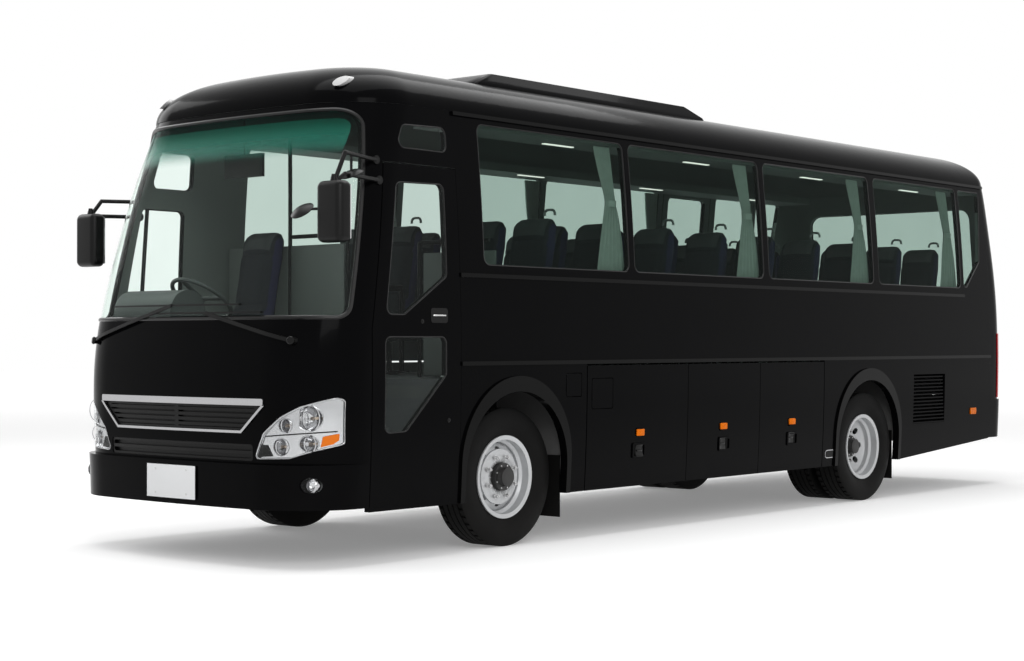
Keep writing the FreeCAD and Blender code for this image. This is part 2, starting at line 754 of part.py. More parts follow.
def bumpers():
    """Front and rear bumpers, wrapped round the corners."""
    nose = -LENGTH / 2 - OVERRUN
    area = rectangle(nose, FRONT_BUMPER_BOTTOM_Z, DOOR_FRONT_LOW_Y, BUMPER_TOP_Z)
    front = moved_out(0.0, WALL, -BUMPER_REACH_FRONT).common(through(area))
    keep("front_bumper", front.cut([fog_bar(side, FOG_RADIUS) for side in (1, -1)]))
    tail = LENGTH / 2 + OVERRUN
    area = rectangle(REAR_SEAM_Y + SEAT, REAR_BUMPER_BOTTOM_Z, tail, REAR_BUMPER_TOP_Z)
    rear = moved_out(0.0, WALL, BUMPER_REACH_REAR).common(through(area))
    keep("rear_bumper", rear)


def moved_out(outer, inner, shift):
    """The skin, thickened lengthways so that its end stands out by shift."""
    shell = lower_solid(outer)
    out = shell.copy()
    out.translate(Vector(0, shift, 0))
    return out.fuse(shell).cut(lower_solid(inner))


def fog_bar(side, radius):
    """A round bar through a fog lamp's place, from the nose to the middle of the coach."""
    nose = -LENGTH / 2 - OVERRUN
    return Part.makeCylinder(radius, -nose, Vector(side * FOG_X, nose, FOG_Z), Vector(0, 1, 0))


def fog_lamps():
    """Round lamps let into the front bumper."""
    outer = lower_solid(0.0).copy()
    outer.translate(Vector(0, -BUMPER_REACH_FRONT + CHROME_REACH, 0))
    for side in (1, -1):
        lamp = fog_bar(side, FOG_RADIUS - SEAT).common(outer)
        cut = lamp.copy()
        cut.translate(Vector(0, FOG_DEPTH, 0))
        keep("headlamp_lenses", lamp.cut(cut))


def arch(side, axle_y, radius, centre_z):
    """A wheel arch: round at the top, straight down to the skirt's edge."""
    centre = Vector(0, axle_y, centre_z)
    disc = Part.makeCylinder(radius, HALF_WIDTH + OVERRUN, centre, Vector(side, 0, 0))
    legs = across(rectangle(axle_y - radius, 0.0, axle_y + radius, centre_z), side)
    return disc.fuse(legs)


def skirts():
    """The lower side panels, with the arches, lid openings, flap openings and the louvre opening."""
    for side, name in ((1, "skirt_left"), (-1, "skirt_right")):
        top = SKIRT_TOP_Z - SEAT
        fore = CAP_SEAM_Y if side > 0 else DOOR_FRONT_LOW_Y + SEAT
        front = across(rectangle(fore + SEAT, SKIRT_BOTTOM, LID_SEAMS[0] - DOOR_GAP, top), side)
        start = LID_SEAMS[-1] + DOOR_GAP
        rear = across(((start, SKIRT_BOTTOM), (SKIRT_RISE_Y, SKIRT_BOTTOM),
                       (REAR_SEAM_Y, SKIRT_REAR_BOTTOM_Z), (REAR_SEAM_Y, top), (start, top)), side)
        cuts = [arch(side, axle_y, ARCH_RADIUS, ARCH_CENTRE_Z) for axle_y in (FRONT_AXLE_Y, REAR_AXLE_Y)]
        if side > 0:
            cuts.append(across(rectangle(*LOUVRE[0], *LOUVRE[1]), side))
            cuts.append(across(rectangle(*SERVICE_FLAP[0], *SERVICE_FLAP[1]), side, FLAP_CORNER))
        else:
            cuts.append(across(rectangle(DOOR_FRONT_LOW_Y, SKIRT_TOP_Z, CAP_SEAM_Y, GUTTER_Z), side))
        shell = skin(0.0, WALL)
        keep(name, shell.common(front).cut(cuts), shell.common(rear).cut(cuts))
    area = rectangle(DOOR_FRONT_LOW_Y + SEAT, SKIRT_TOP_Z, CAP_SEAM_Y, SCREEN_SEAM_Z - SEAT)
    keep("skirt_right", skin(0.0, WALL).common(across(area, -1)))


def louvre():
    """The radiator louvre: a frame with sloping slats."""
    (front, low), (rear, high) = LOUVRE
    frame = across(rectangle(front + SEAT, low + SEAT, rear - SEAT, high - SEAT), 1).cut(across(
        rectangle(front + LOUVRE_FRAME, low + LOUVRE_FRAME, rear - LOUVRE_FRAME, high - LOUVRE_FRAME), 1))
    layer = skin(0.0, LOUVRE_DEPTH)
    parts = [layer.common(frame)]
    outer_x = HALF_WIDTH - barrel(low)
    pitch = (high - low - LOUVRE_FRAME * 2) / LOUVRE_SLATS
    for step in range(LOUVRE_SLATS):
        bottom = low + LOUVRE_FRAME + pitch * (step + (1 - LEAF_RISE_SHARE - LEAF_SHARE) / 2)
        rise = pitch * LEAF_RISE_SHARE
        thick = pitch * LEAF_SHARE
        corners = ((outer_x - LOUVRE_DEPTH, bottom + rise), (outer_x, bottom),
                   (outer_x, bottom + thick), (outer_x - LOUVRE_DEPTH, bottom + rise + thick))
        leaf = outline(corners, on_front(front + LOUVRE_FRAME / 2))
        parts.append(leaf.extrude(Vector(0, rear - front - LOUVRE_FRAME, 0)))
    keep("radiator_louvre", parts[0].fuse(parts[1:]))


def roof():
    """The main roof, and the moulded cap over the windscreen."""
    shell = roof_solid(0.0).cut(roof_solid(WALL))
    top = CROWN_Z + OVERRUN
    width = HALF_WIDTH + OVERRUN
    bottom = GUTTER_Z + SEAT
    cap = box((-width, -LENGTH / 2, bottom), (width, CAP_SEAM_Y - SEAT, top))
    main = box((-width, CAP_SEAM_Y, bottom), (width, LENGTH / 2, top))
    keep("front_cap", shell.common(cap))
    keep("roof", shell.common(main))


def rear_wall():
    """The rear moulding with its window and engine lid openings."""
    tail = LENGTH / 2 + OVERRUN
    area = rectangle(REAR_SEAM_Y + SEAT, REAR_BUMPER_TOP_Z + SEAT, tail, GUTTER_Z)
    wall = skin(0.0, WALL).common(through(area))
    window = into_rear(rear_window_outline(), REAR_WINDOW_CORNER)
    lid = into_rear(engine_lid_outline(), ENGINE_LID_CORNER)
    keep("rear_wall", wall.cut([window, lid]))
    pane = into_rear(grown(rear_window_outline(), -SEAT), REAR_WINDOW_CORNER)
    keep("body_glass", glass_sheet(pane))


def rear_window_outline():
    """The rear window."""
    return rectangle(-REAR_WINDOW_HALF, REAR_WINDOW_BOTTOM_Z, REAR_WINDOW_HALF, REAR_WINDOW_TOP_Z)


def engine_lid_outline():
    """The engine opening."""
    return rectangle(-ENGINE_LID_HALF, ENGINE_LID_BOTTOM_Z, ENGINE_LID_HALF, ENGINE_LID_TOP_Z)


def engine_lid():
    """The rear engine lid, which hangs from its top edge."""
    lid = into_rear(grown(engine_lid_outline(), -DOOR_GAP), ENGINE_LID_CORNER)
    keep("engine_lid", skin(0.0, WALL).common(lid))


def entrance_door():
    """The swing-out door with its two panes, and the bracket that its arms carry."""
    panel = skin(0.0, WALL).common(across(door_outline(DOOR_GAP, DOOR_REAR_GAP - DOOR_GAP), 1))
    cuts = [across(points, 1, DOOR_WINDOW_RADIUS) for points in (DOOR_HIGH_GLASS, DOOR_LOW_GLASS)]
    keep("entrance_door", panel.cut(cuts))
    for points in (DOOR_HIGH_GLASS, DOOR_LOW_GLASS):
        keep("entrance_door_glass", glass_sheet(across(grown(points, -SEAT), 1, DOOR_WINDOW_RADIUS)))
    pin_x, pin_y = arm_end()
    brackets = []
    for arm_z in ARM_ZS:
        low = arm_z + ARM_HEIGHT + SEAT
        half = BRACKET_WIDTH / 2
        plate = box((pin_x - half, pin_y - half, low), (HALF_WIDTH, pin_y + half, low + BRACKET_THICKNESS))
        plate = plate.common(lower_solid(WALL + SEAT))
        hole = Part.makeCylinder(PIN_RADIUS + RUNNING_GAP, LENGTH, Vector(pin_x, pin_y, 0))
        brackets.append(plate.cut(hole))
    keep("entrance_door", *brackets)


def arm_end():
    """Where the swing arm meets the door at rest."""
    return POST_X - ARM_LEAN, POST_Y + math.sqrt(ARM_LENGTH ** 2 - ARM_LEAN ** 2)


def door_post():
    """The fixed post that the swing arm turns on, tied to the frame at its top."""
    foot = tread_z(1)
    post = Part.makeCylinder(POST_RADIUS, POST_TOP_Z - foot, Vector(POST_X, POST_Y, foot))
    top = box((POST_X, POST_Y - POST_RADIUS, POST_TOP_Z),
              (HALF_WIDTH, POST_Y + POST_RADIUS, POST_TOP_Z + BRACKET_WIDTH))
    return post.fuse(top.common(lower_solid(WALL + SEAT)))


def door_arm():
    """A sleeve on the post with two arms and their pins."""
    start = Vector(POST_X, POST_Y, 0)
    end = Vector(*arm_end(), 0)
    run = (end - start).normalize()
    side = Vector(-run.y, run.x, 0) * (ARM_WIDTH / 2)
    low, high = ARM_ZS
    sleeve_radius = POST_RADIUS + RUNNING_GAP + SLEEVE_WALL
    parts = [Part.makeCylinder(sleeve_radius, high + ARM_HEIGHT - low, start + Vector(0, 0, low))]
    for arm_z in ARM_ZS:
        lift = Vector(0, 0, arm_z)
        face = Part.Face(Part.makePolygon([start - side + lift, end - side + lift, end + side + lift,
                                           start + side + lift, start - side + lift]))
        parts.append(face.extrude(Vector(0, 0, ARM_HEIGHT)))
        parts.append(Part.makeCylinder(ARM_WIDTH / 2, ARM_HEIGHT, end + lift))
        parts.append(Part.makeCylinder(PIN_RADIUS, ARM_HEIGHT + SEAT + BRACKET_THICKNESS, end + lift))
    bore = Part.makeCylinder(POST_RADIUS + RUNNING_GAP, LENGTH, start)
    keep("door_arm", parts[0].fuse(parts[1:]).cut(bore))


def lid_spans():
    """The luggage lids, from one seam to the next."""
    return list(zip(LID_SEAMS, LID_SEAMS[1:]))


def luggage_lids():
    """Top-hung lids on both sides, each with its handle; the foremost left one has the fuel flap."""
    for side, label in ((1, "left"), (-1, "right")):
        for number, (front, rear) in enumerate(lid_spans(), 1):
            half_gap = DOOR_GAP / 2
            area = rectangle(front + half_gap, SKIRT_BOTTOM, rear - half_gap, LID_TOP_Z)
            panel = skin(0.0, WALL).common(across(area, side))
            ring = handle_ring((front + rear) / 2, side)
            if side > 0 and number == 1:
                (fore, low), (aft, high) = FUEL_FLAP
                panel = panel.cut(across(rectangle(fore, low, aft, high), side, FLAP_CORNER))
            keep("luggage_lid_%s_%d" % (label, number), panel, ring)


def handle_ring(centre_y, side):
    """A low frame round a lid's pull."""
    outer = centred(centre_y, HANDLE_Z, HANDLE_WIDTH, HANDLE_HEIGHT)
    inner = across(grown(outer, -HANDLE_RING), side, HANDLE_RING / 2)
    return skin(-HANDLE_REACH, -SEAT).common(across(outer, side, HANDLE_RING).cut(inner))


def flaps():
    """The fuel flap in its lid and the service flap in the skirt, each over a shallow cup."""
    for points, name, host in ((FUEL_FLAP, "fuel_flap", "luggage_lid_left_1"),
                               (SERVICE_FLAP, "service_flap", "skirt_left")):
        (fore, low), (aft, high) = points
        area = rectangle(fore, low, aft, high)
        plate = skin(0.0, FLAP_THICKNESS).common(across(grown(area, -FLAP_GAP), 1, FLAP_CORNER))
        keep(name, plate.fuse(flap_barrel(fore, (low + high) / 2)))
        cup = across(grown(area, -SEAT), 1, FLAP_CORNER)
        keep(host, skin(WALL - FLAP_THICKNESS * 2, WALL).common(cup))


def flap_barrel(fore, middle_z):
    """A flap's hinge barrel, seated beside the front edge of its opening."""
    x = HALF_WIDTH - barrel(middle_z)
    foot = Vector(x, fore + SEAT + FLAP_BARREL, middle_z - FLAP_BARREL_LENGTH / 2)
    return Part.makeCylinder(FLAP_BARREL, FLAP_BARREL_LENGTH, foot)


def emergency_door():
    """The right rear escape door with its window."""
    area = grown(emergency_outline(), -DOOR_GAP)
    window = rectangle(EMERGENCY_FRONT_Y + EMERGENCY_FRAME, WINDOW_BOTTOM_Z,
                       EMERGENCY_REAR_Y - EMERGENCY_FRAME, WINDOW_TOP_Z - EMERGENCY_FRAME / 2)
    opening = across(window, -1, WINDOW_CORNER)
    keep("emergency_door", skin(0.0, WALL).common(across(area, -1)).cut(opening))
    keep("emergency_door_glass", glass_sheet(across(grown(window, -SEAT), -1, WINDOW_CORNER)))


# Trims and lamps on the body
def trims():
    """The belt and skirt mouldings and the roof gutter, along both sides."""
    belt = ((CAP_SEAM_Y, BELT_Z - MOULDING_HEIGHT / 2), (BELT_END_Y, BELT_Z - MOULDING_HEIGHT / 2),
            (BELT_END_Y, BELT_Z + MOULDING_HEIGHT / 2), (CAP_SEAM_Y, BELT_Z + MOULDING_HEIGHT / 2))
    low = SKIRT_TOP_Z
    skirt_line = rectangle(CAP_SEAM_Y, low, REAR_SEAM_Y, low + MOULDING_HEIGHT)
    gutter = rectangle(CAP_SEAM_Y, GUTTER_Z - GUTTER_HEIGHT, REAR_SEAM_Y, GUTTER_Z)
    for side in (1, -1):
        layer = skin(-MOULDING_REACH, -SEAT)
        belt_solid = layer.common(across(belt, side))
        line_solid = layer.common(across(skirt_line, side))
        if side < 0:
            gap = across(grown(emergency_outline(), DOOR_GAP), side)
            belt_solid = belt_solid.cut(gap)
        keep("mouldings", belt_solid, line_solid)
        keep("mouldings", skin(-GUTTER_REACH, -SEAT).common(across(gutter, side)))


def flares():
    """The raised lips round the wheel arches."""
    layer = skin(-FLARE_REACH, -SEAT)
    floor_z = box((-LENGTH, -LENGTH, 0), (LENGTH, LENGTH, SKIRT_BOTTOM))
    for side in (1, -1):
        for axle_y in (FRONT_AXLE_Y, REAR_AXLE_Y):
            ring = arch(side, axle_y, FLARE_RADIUS, FLARE_CENTRE_Z)
            ring = ring.cut([arch(side, axle_y, ARCH_RADIUS, ARCH_CENTRE_Z), floor_z])
            keep("mouldings", layer.common(ring))


def marker_lamps():
    """Amber side lamps."""
    layer = skin(-HANDLE_REACH, -SEAT)
    for side in (1, -1):
        for centre_y in MARKER_YS:
            area = centred(centre_y, MARKER_Z, MARKER_LENGTH, MARKER_HEIGHT)
            keep(marker_node(side, centre_y), layer.common(across(area, side, HANDLE_RING / 2)))


def marker_node(side, centre_y):
    """The lamps on the lids are nodes of their own, because they move with them."""
    label = "left" if side > 0 else "right"
    for number, (front, rear) in enumerate(lid_spans(), 1):
        if front < centre_y < rear:
            return "luggage_lid_%s_%d" % (label, number)
    return "body_lamps"


def tail_lamps():
    """Upright lamp strips on the rear corners."""
    layer = skin(-TAIL_LAMP_REACH, -SEAT)
    area = rectangle(TAIL_LAMP_Y, TAIL_LAMP_BOTTOM_Z, TAIL_LAMP_Y + TAIL_LAMP_LENGTH, TAIL_LAMP_TOP_Z)
    for side in (1, -1):
        keep("body_lamps", layer.common(across(area, side, TAIL_LAMP_REACH)))


def clearance_lamps():
    """Small lamps on the brow, at both ends of the roof."""
    reach = 3 * BROW_SETBACK / 2
    for side in (1, -1):
        for way in (1, -1):
            start = Vector(side * CLEARANCE_LAMP_X, -way * LENGTH / 2, CLEARANCE_LAMP_Z)
            bar = Part.makeCylinder(CLEARANCE_LAMP_RADIUS, reach, start, Vector(0, way, 0))
            keep("body_lamps", bar.cut(roof_solid(-SEAT)).common(roof_solid(-CLEARANCE_LAMP_REACH)))


def roof_unit():
    """The air-conditioning unit, with sloping ends, seated on the crown."""
    low = UNIT_BASE_Z
    wires = []
    for inset, z in ((0.0, low), (UNIT_SLOPE / 4, (low + UNIT_TOP_Z) / 2), (UNIT_SLOPE, UNIT_TOP_Z)):
        half = UNIT_HALF - inset / 4
        points = rectangle(-half, UNIT_FRONT_Y + inset, half, UNIT_REAR_Y - inset)
        wires.append(outline(points, on_floor(z), UNIT_ROUND).OuterWire)
    keep("roof_unit", Part.makeLoft(wires, True, True).cut(roof_solid(-SEAT)))


# Wheels and axles
def tyre_profile():
    """A tyre's section: a flat tread, bulged walls and the bead on the rim."""
    right = ((RIM_HALF, TYRE_BEAD_RADIUS), (TYRE_WIDTH / 2, TYRE_BULGE_RADIUS),
             (TREAD_HALF, TYRE_RADIUS))
    return right + tuple((-x, radius) for x, radius in reversed(right))


def rim_profile():
    """A drop-centre rim's section: flanges that flare along the tyre's walls, bead seats and well."""
    sheet = RIM_SHEET
    inner, outer = RIM_HALF + SEAT, RIM_HALF + SEAT + sheet
    rise_share = (RIM_FLANGE_RADIUS - TYRE_BEAD_RADIUS) / (TYRE_BULGE_RADIUS - TYRE_BEAD_RADIUS)
    lean = (TYRE_WIDTH / 2 - RIM_HALF) * rise_share
    right = ((RIM_HALF / 3, RIM_WELL_RADIUS + sheet), (RIM_HALF / 2, TYRE_BEAD_RADIUS - SEAT),
             (inner, TYRE_BEAD_RADIUS - SEAT), (inner + lean, RIM_FLANGE_RADIUS),
             (outer + lean, RIM_FLANGE_RADIUS), (outer, TYRE_BEAD_RADIUS - sheet),
             (RIM_HALF / 2, TYRE_BEAD_RADIUS - sheet), (RIM_HALF / 3, RIM_WELL_RADIUS))
    return right + tuple((-x, radius) for x, radius in reversed(right))


def disc_profile(disc_set):
    """The wheel disc from the hub out to the rim's well."""
    sheet = RIM_SHEET
    return ((disc_set - sheet, SPINDLE_RADIUS + RUNNING_GAP), (disc_set, SPINDLE_RADIUS + RUNNING_GAP),
            (disc_set, HUB_RADIUS), (disc_set / 3, DISC_RADIUS), (0.0, RIM_WELL_RADIUS + sheet / 2),
            (-sheet, RIM_WELL_RADIUS + sheet / 2), (disc_set / 3 - sheet, DISC_RADIUS - sheet),
            (disc_set - sheet, HUB_RADIUS - sheet))


def hand_holes(centre_x, axle_y):
    """The ring of round holes through the disc."""
    cutters = []
    for step in range(HAND_HOLES):
        angle = 2 * math.pi * step / HAND_HOLES
        place = Vector(centre_x - TYRE_WIDTH, axle_y + HAND_HOLE_CIRCLE * math.cos(angle),
                       TYRE_RADIUS + HAND_HOLE_CIRCLE * math.sin(angle))
        cutters.append(Part.makeCylinder(HAND_HOLE_RADIUS, 2 * TYRE_WIDTH, place, Vector(1, 0, 0)))
    return cutters


def rim(centre_x, axle_y, disc_set):
    """A rim with its pierced disc."""
    ring = revolved_x(rim_profile(), centre_x, axle_y, TYRE_RADIUS)
    disc = revolved_x(disc_profile(disc_set), centre_x, axle_y, TYRE_RADIUS)
    return ring.fuse(disc.cut(hand_holes(centre_x, axle_y)))


def drum(inner_x, outer_x, axle_y):
    """A brake drum, open on its inner side."""
    width = outer_x - inner_x
    bore = SPINDLE_RADIUS + RUNNING_GAP
    points = ((0.0, DRUM_RADIUS), (width, DRUM_RADIUS), (width, bore), (width - DRUM_WALL, bore),
              (width - DRUM_WALL, DRUM_RADIUS - DRUM_WALL), (0.0, DRUM_RADIUS - DRUM_WALL))
    return revolved_x(points, inner_x, axle_y, TYRE_RADIUS)


def hub(inner_x, outer_x, axle_y):
    """The hub that stands out through the disc, closed by its cap."""
    width = outer_x - inner_x
    bore = SPINDLE_RADIUS + RUNNING_GAP
    flange = HUB_CAP_RADIUS + HAND_HOLE_RADIUS
    points = ((0.0, bore), (0.0, flange), (width / 2, flange), (width / 2, HUB_CAP_RADIUS),
              (width, HUB_CAP_RADIUS - HAND_HOLE_RADIUS / 2), (width, 0.0),
              (width - DRUM_WALL, 0.0), (width - DRUM_WALL, bore))
    return revolved_x(points, inner_x, axle_y, TYRE_RADIUS)


def tyre_solid(centre_x, axle_y):
    """The casing turned about the axle."""
    return revolved_x(tyre_profile(), centre_x, axle_y, TYRE_RADIUS)


def front_wheels():
    """Single front wheels whose discs stand out, each with its drum and hub."""
    centre = FRONT_TRACK / 2
    face = centre + FRONT_DISC_SET
    tyre_part = tyre_solid(centre, FRONT_AXLE_Y)
    wheel = rim(centre, FRONT_AXLE_Y, FRONT_DISC_SET)
    drum_part = drum(spindle_root_x() + DOOR_GAP, face - RIM_SHEET, FRONT_AXLE_Y)
    hub_part = hub(face, face + HUB_CAP_RADIUS, FRONT_AXLE_Y)
    wheel = wheel.fuse([drum_part, hub_part])
    for turn, label in ((Part.Shape.copy, "left"), (mirrored, "right")):
        keep("front_tyre_" + label, turn(tyre_part))
        keep("front_rim_" + label, turn(wheel))


def rear_wheels():
    """Twin rear wheels: the outer disc is dished in, the inner one faces it."""
    outer = REAR_TRACK / 2 + TWIN_SPACING / 2
    inner = outer - TWIN_SPACING
    face = outer - REAR_DISC_SET
    tyres = [tyre_solid(centre, REAR_AXLE_Y) for centre in (outer, inner)]
    rims = [rim(outer, REAR_AXLE_Y, -REAR_DISC_SET), mirrored(rim(-inner, REAR_AXLE_Y, -REAR_DISC_SET))]
    drum_part = drum(inner, face - 2 * RIM_SHEET, REAR_AXLE_Y)
    hub_part = hub(face, outer + FRONT_DISC_SET / 2, REAR_AXLE_Y)
    wheel = rims[0].fuse([rims[1], drum_part, hub_part])
    for turn, label in ((Part.Shape.copy, "left"), (mirrored, "right")):
        keep("rear_tyres_" + label, *[turn(part) for part in tyres])
        keep("rear_rims_" + label, turn(wheel))


def spindle_root_x():
    """Where the knuckle's flange ends and the spindle starts."""
    return KINGPIN_X + EYE_RADIUS + DOOR_GAP + EAR_THICKNESS


def knuckles():
    """Forked steering knuckles: two ears on the kingpin, a flange and the spindle."""
    root = spindle_root_x()
    web_x = KINGPIN_X + EYE_RADIUS + DOOR_GAP
    reach = EYE_HALF + SEAT + EAR_THICKNESS
    centre = Vector(KINGPIN_X, FRONT_AXLE_Y, TYRE_RADIUS)
    parts = []
    for low in (EYE_HALF + SEAT, -reach):
        parts.append(Part.makeCylinder(EYE_RADIUS, EAR_THICKNESS, centre + Vector(0, 0, low)))
        parts.append(box((KINGPIN_X, FRONT_AXLE_Y - EYE_RADIUS, TYRE_RADIUS + low),
                         (root, FRONT_AXLE_Y + EYE_RADIUS, TYRE_RADIUS + low + EAR_THICKNESS)))
    parts.append(box((web_x, FRONT_AXLE_Y - EYE_RADIUS, TYRE_RADIUS - reach),
                     (root, FRONT_AXLE_Y + EYE_RADIUS, TYRE_RADIUS + reach)))
    parts.append(Part.makeCylinder(KINGPIN_RADIUS, 2 * reach, centre - Vector(0, 0, reach)))
    end_x = FRONT_TRACK / 2 + FRONT_DISC_SET + HUB_CAP_RADIUS / 2
    parts.append(Part.makeCylinder(SPINDLE_RADIUS, end_x - root, Vector(root, FRONT_AXLE_Y, TYRE_RADIUS),
                                   Vector(1, 0, 0)))
    knuckle = parts[0].fuse(parts[1:])
    keep("knuckle_left", knuckle)
    keep("knuckle_right", mirrored(knuckle))


def front_axle():
    """A dropped beam with an eye at each end for the kingpin."""
    drop = TYRE_RADIUS - BEAM_DROP
    half = EYE_HALF
    ear = KINGPIN_X - EYE_RADIUS - DOOR_GAP
    right = ((RAIL_X + BEAM_DROP, drop - half), (ear, TYRE_RADIUS - half), (KINGPIN_X, TYRE_RADIUS - half),
             (KINGPIN_X, TYRE_RADIUS + half), (ear, TYRE_RADIUS + half), (RAIL_X + BEAM_DROP, drop + half))
    points = right + tuple((-x, z) for x, z in reversed(right))
    beam = outline(points, on_front(FRONT_AXLE_Y - BEAM_HALF)).extrude(Vector(0, 2 * BEAM_HALF, 0))
    pads = []
    bores = []
    for side in (1, -1):
        eye = Vector(side * KINGPIN_X, FRONT_AXLE_Y, TYRE_RADIUS - half)
        pads.append(Part.makeCylinder(EYE_RADIUS, 2 * half, eye))
        below = eye - Vector(0, 0, TYRE_RADIUS)
        bores.append(Part.makeCylinder(KINGPIN_RADIUS + RUNNING_GAP, LENGTH, below))
    for side in (1, -1):
        foot = Vector(side * RAIL_X, FRONT_AXLE_Y, drop)
        pads.append(Part.makeCylinder(BELLOWS_RADIUS, RAIL_BOTTOM_Z - foot.z, foot))
    keep("front_axle_beam", beam.fuse(pads).cut(bores))


def rear_axle():
    """The driven axle's tube with the differential bowl, and its air springs."""
    centre = Vector(0, REAR_AXLE_Y, TYRE_RADIUS)
    end = Vector(REAR_TRACK / 2 + TWIN_SPACING / 2 - REAR_DISC_SET + RIM_SHEET, 0, 0)
    spindle = cylinder(centre - end, centre + end, SPINDLE_RADIUS)
    half = Vector(REAR_TRACK / 2 - TWIN_SPACING, 0, 0)
    tube = cylinder(centre - half, centre + half, AXLE_TUBE_RADIUS)
    bowl = Part.makeSphere(DIFFERENTIAL_RADIUS, centre, Vector(1, 0, 0))
    height = RAIL_BOTTOM_Z - TYRE_RADIUS
    springs = [Part.makeCylinder(BELLOWS_RADIUS, height, centre + Vector(side * RAIL_X, 0, 0))
               for side in (1, -1)]
    keep("rear_axle_housing", spindle.fuse([tube, bowl] + springs))


# Underframe
def chassis():
    """Two channel rails with cross members and outriggers at the bay walls."""
    top = RAIL_BOTTOM_Z + RAIL_HEIGHT
    sheet = RAIL_SHEET
    low_edge, web = RAIL_X - RAIL_WIDTH / 2, RAIL_X + RAIL_WIDTH / 2
    inner = web - sheet
    channel = ((low_edge, RAIL_BOTTOM_Z), (web, RAIL_BOTTOM_Z), (web, top), (low_edge, top),
               (low_edge, top - sheet), (inner, top - sheet), (inner, RAIL_BOTTOM_Z + sheet),
               (low_edge, RAIL_BOTTOM_Z + sheet))
    rail = outline(channel, on_front(RAIL_FRONT_Y)).extrude(Vector(0, RAIL_REAR_Y - RAIL_FRONT_Y, 0))
    parts = [rail, mirrored(rail)]
    ahead = (RAIL_FRONT_Y, FRONT_AXLE_Y + BELLOWS_RADIUS)
    stops = ahead + LID_SEAMS + (REAR_AXLE_Y + DIFFERENTIAL_RADIUS, GEARBOX_FRONT_Y)
    for place in stops:
        parts.append(box((-inner, place, top - MEMBER_HEIGHT), (inner, place + MEMBER_WIDTH, top)))
    post_top = FLOOR_Z - FLOOR_THICKNESS
    for place in stops[1:] + (RAIL_REAR_Y - MEMBER_WIDTH,):
        for side in (1, -1):
            low_x, high_x = sorted((side * low_edge, side * web))
            parts.append(box((low_x, place, top), (high_x, place + MEMBER_WIDTH, post_top)))
    nose = box((-inner, RAIL_FRONT_Y, top),
               (inner, RAIL_FRONT_Y + MEMBER_WIDTH, PLATFORM_Z - FLOOR_THICKNESS))
    room_z = tread_z(3) - STEP_SHEET - DOOR_GAP
    step_room = box((PLATFORM_EDGE_X - STEP_SHEET, STEP_FRONT_Y - DOOR_GAP, room_z),
                    (HALF_WIDTH, STEP_REAR_Y + DOOR_GAP, FLOOR_Z))
    keep("chassis_frame", parts[0].fuse(parts[1:] + [nose]).cut(step_room))


def bays():
    """Luggage bay trays on both sides: floor, inner wall and the walls between bays."""
    ceiling = FLOOR_Z - FLOOR_THICKNESS
    front, rear = LID_SEAMS[0], LID_SEAMS[-1]
    reach = HALF_WIDTH
    clear = lower_solid(WALL + BAY_OUTER_GAP)
    tray = box((BAY_INNER_X, front, BAY_BOTTOM_Z), (reach, rear, BAY_BOTTOM_Z + BAY_SHEET)).common(clear)
    parts = [tray, box((BAY_INNER_X, front, BAY_BOTTOM_Z), (BAY_INNER_X + BAY_SHEET, rear, ceiling))]
    for seam in LID_SEAMS:
        low_y = min(max(seam - BAY_SHEET / 2, front), rear - BAY_SHEET)
        wall = box((BAY_INNER_X, low_y, BAY_BOTTOM_Z), (reach, low_y + BAY_SHEET, ceiling))
        parts.append(wall.common(clear))
    bay = parts[0].fuse(parts[1:])
    keep("underfloor_panels", bay, mirrored(bay))


def wheel_houses():
    """Sheet boxes over the wheels, open towards the axle."""
    top = FLOOR_Z - FLOOR_THICKNESS
    clear = lower_solid(WALL + SEAT)
    for axle_y in (FRONT_AXLE_Y, REAR_AXLE_Y):
        for side in (1, -1):
            half = HOUSE_HALF_LENGTH + HOUSE_SHEET
            inner_x, outer_x = sorted((side * HOUSE_INNER_X, side * HALF_WIDTH))
            shell = box((inner_x, axle_y - half, HOUSE_BOTTOM_Z), (outer_x, axle_y + half, top))
            room = box((-LENGTH, axle_y - HOUSE_HALF_LENGTH, 0),
                       (LENGTH, axle_y + HOUSE_HALF_LENGTH, top - HOUSE_SHEET))
            keep("underfloor_panels", shell.common(clear).cut(room))


def engine():
    """The closed engine and gearbox mass between the rails."""
    block = box((-ENGINE_HALF, ENGINE_FRONT_Y, ENGINE_BOTTOM_Z), (ENGINE_HALF, ENGINE_REAR_Y, ENGINE_TOP_Z))
    centre_z = (ENGINE_BOTTOM_Z + ENGINE_TOP_Z) / 2
    gearbox = cylinder(Vector(0, GEARBOX_FRONT_Y + MEMBER_WIDTH, centre_z),
                       Vector(0, ENGINE_FRONT_Y, centre_z), GEARBOX_RADIUS)
    inner = RAIL_X + RAIL_WIDTH / 2 - RAIL_SHEET
    places = (ENGINE_FRONT_Y + MEMBER_WIDTH, ENGINE_REAR_Y - 2 * MEMBER_WIDTH)
    mounts = [box((-inner, place, RAIL_BOTTOM_Z + RAIL_SHEET),
                  (inner, place + MEMBER_WIDTH, RAIL_BOTTOM_Z + MEMBER_HEIGHT)) for place in places]
    keep("engine_block", block.fuse([gearbox] + mounts))


def mud_flaps():
    """Rubber flaps behind the wheels."""
    rear_x = REAR_TRACK / 2 + TWIN_SPACING / 3
    for axle_y, centre_x in ((FRONT_AXLE_Y, FRONT_TRACK / 2), (REAR_AXLE_Y, rear_x)):
        place = axle_y + HOUSE_HALF_LENGTH - FLAP_SHEET
        low = (centre_x - MUD_FLAP_WIDTH / 2, place, MUD_FLAP_BOTTOM_Z)
        high = (centre_x + MUD_FLAP_WIDTH / 2, place + FLAP_SHEET, HOUSE_BOTTOM_Z + MEMBER_HEIGHT)
        flap = box(low, high)
        keep("mud_flaps", flap, mirrored(flap))


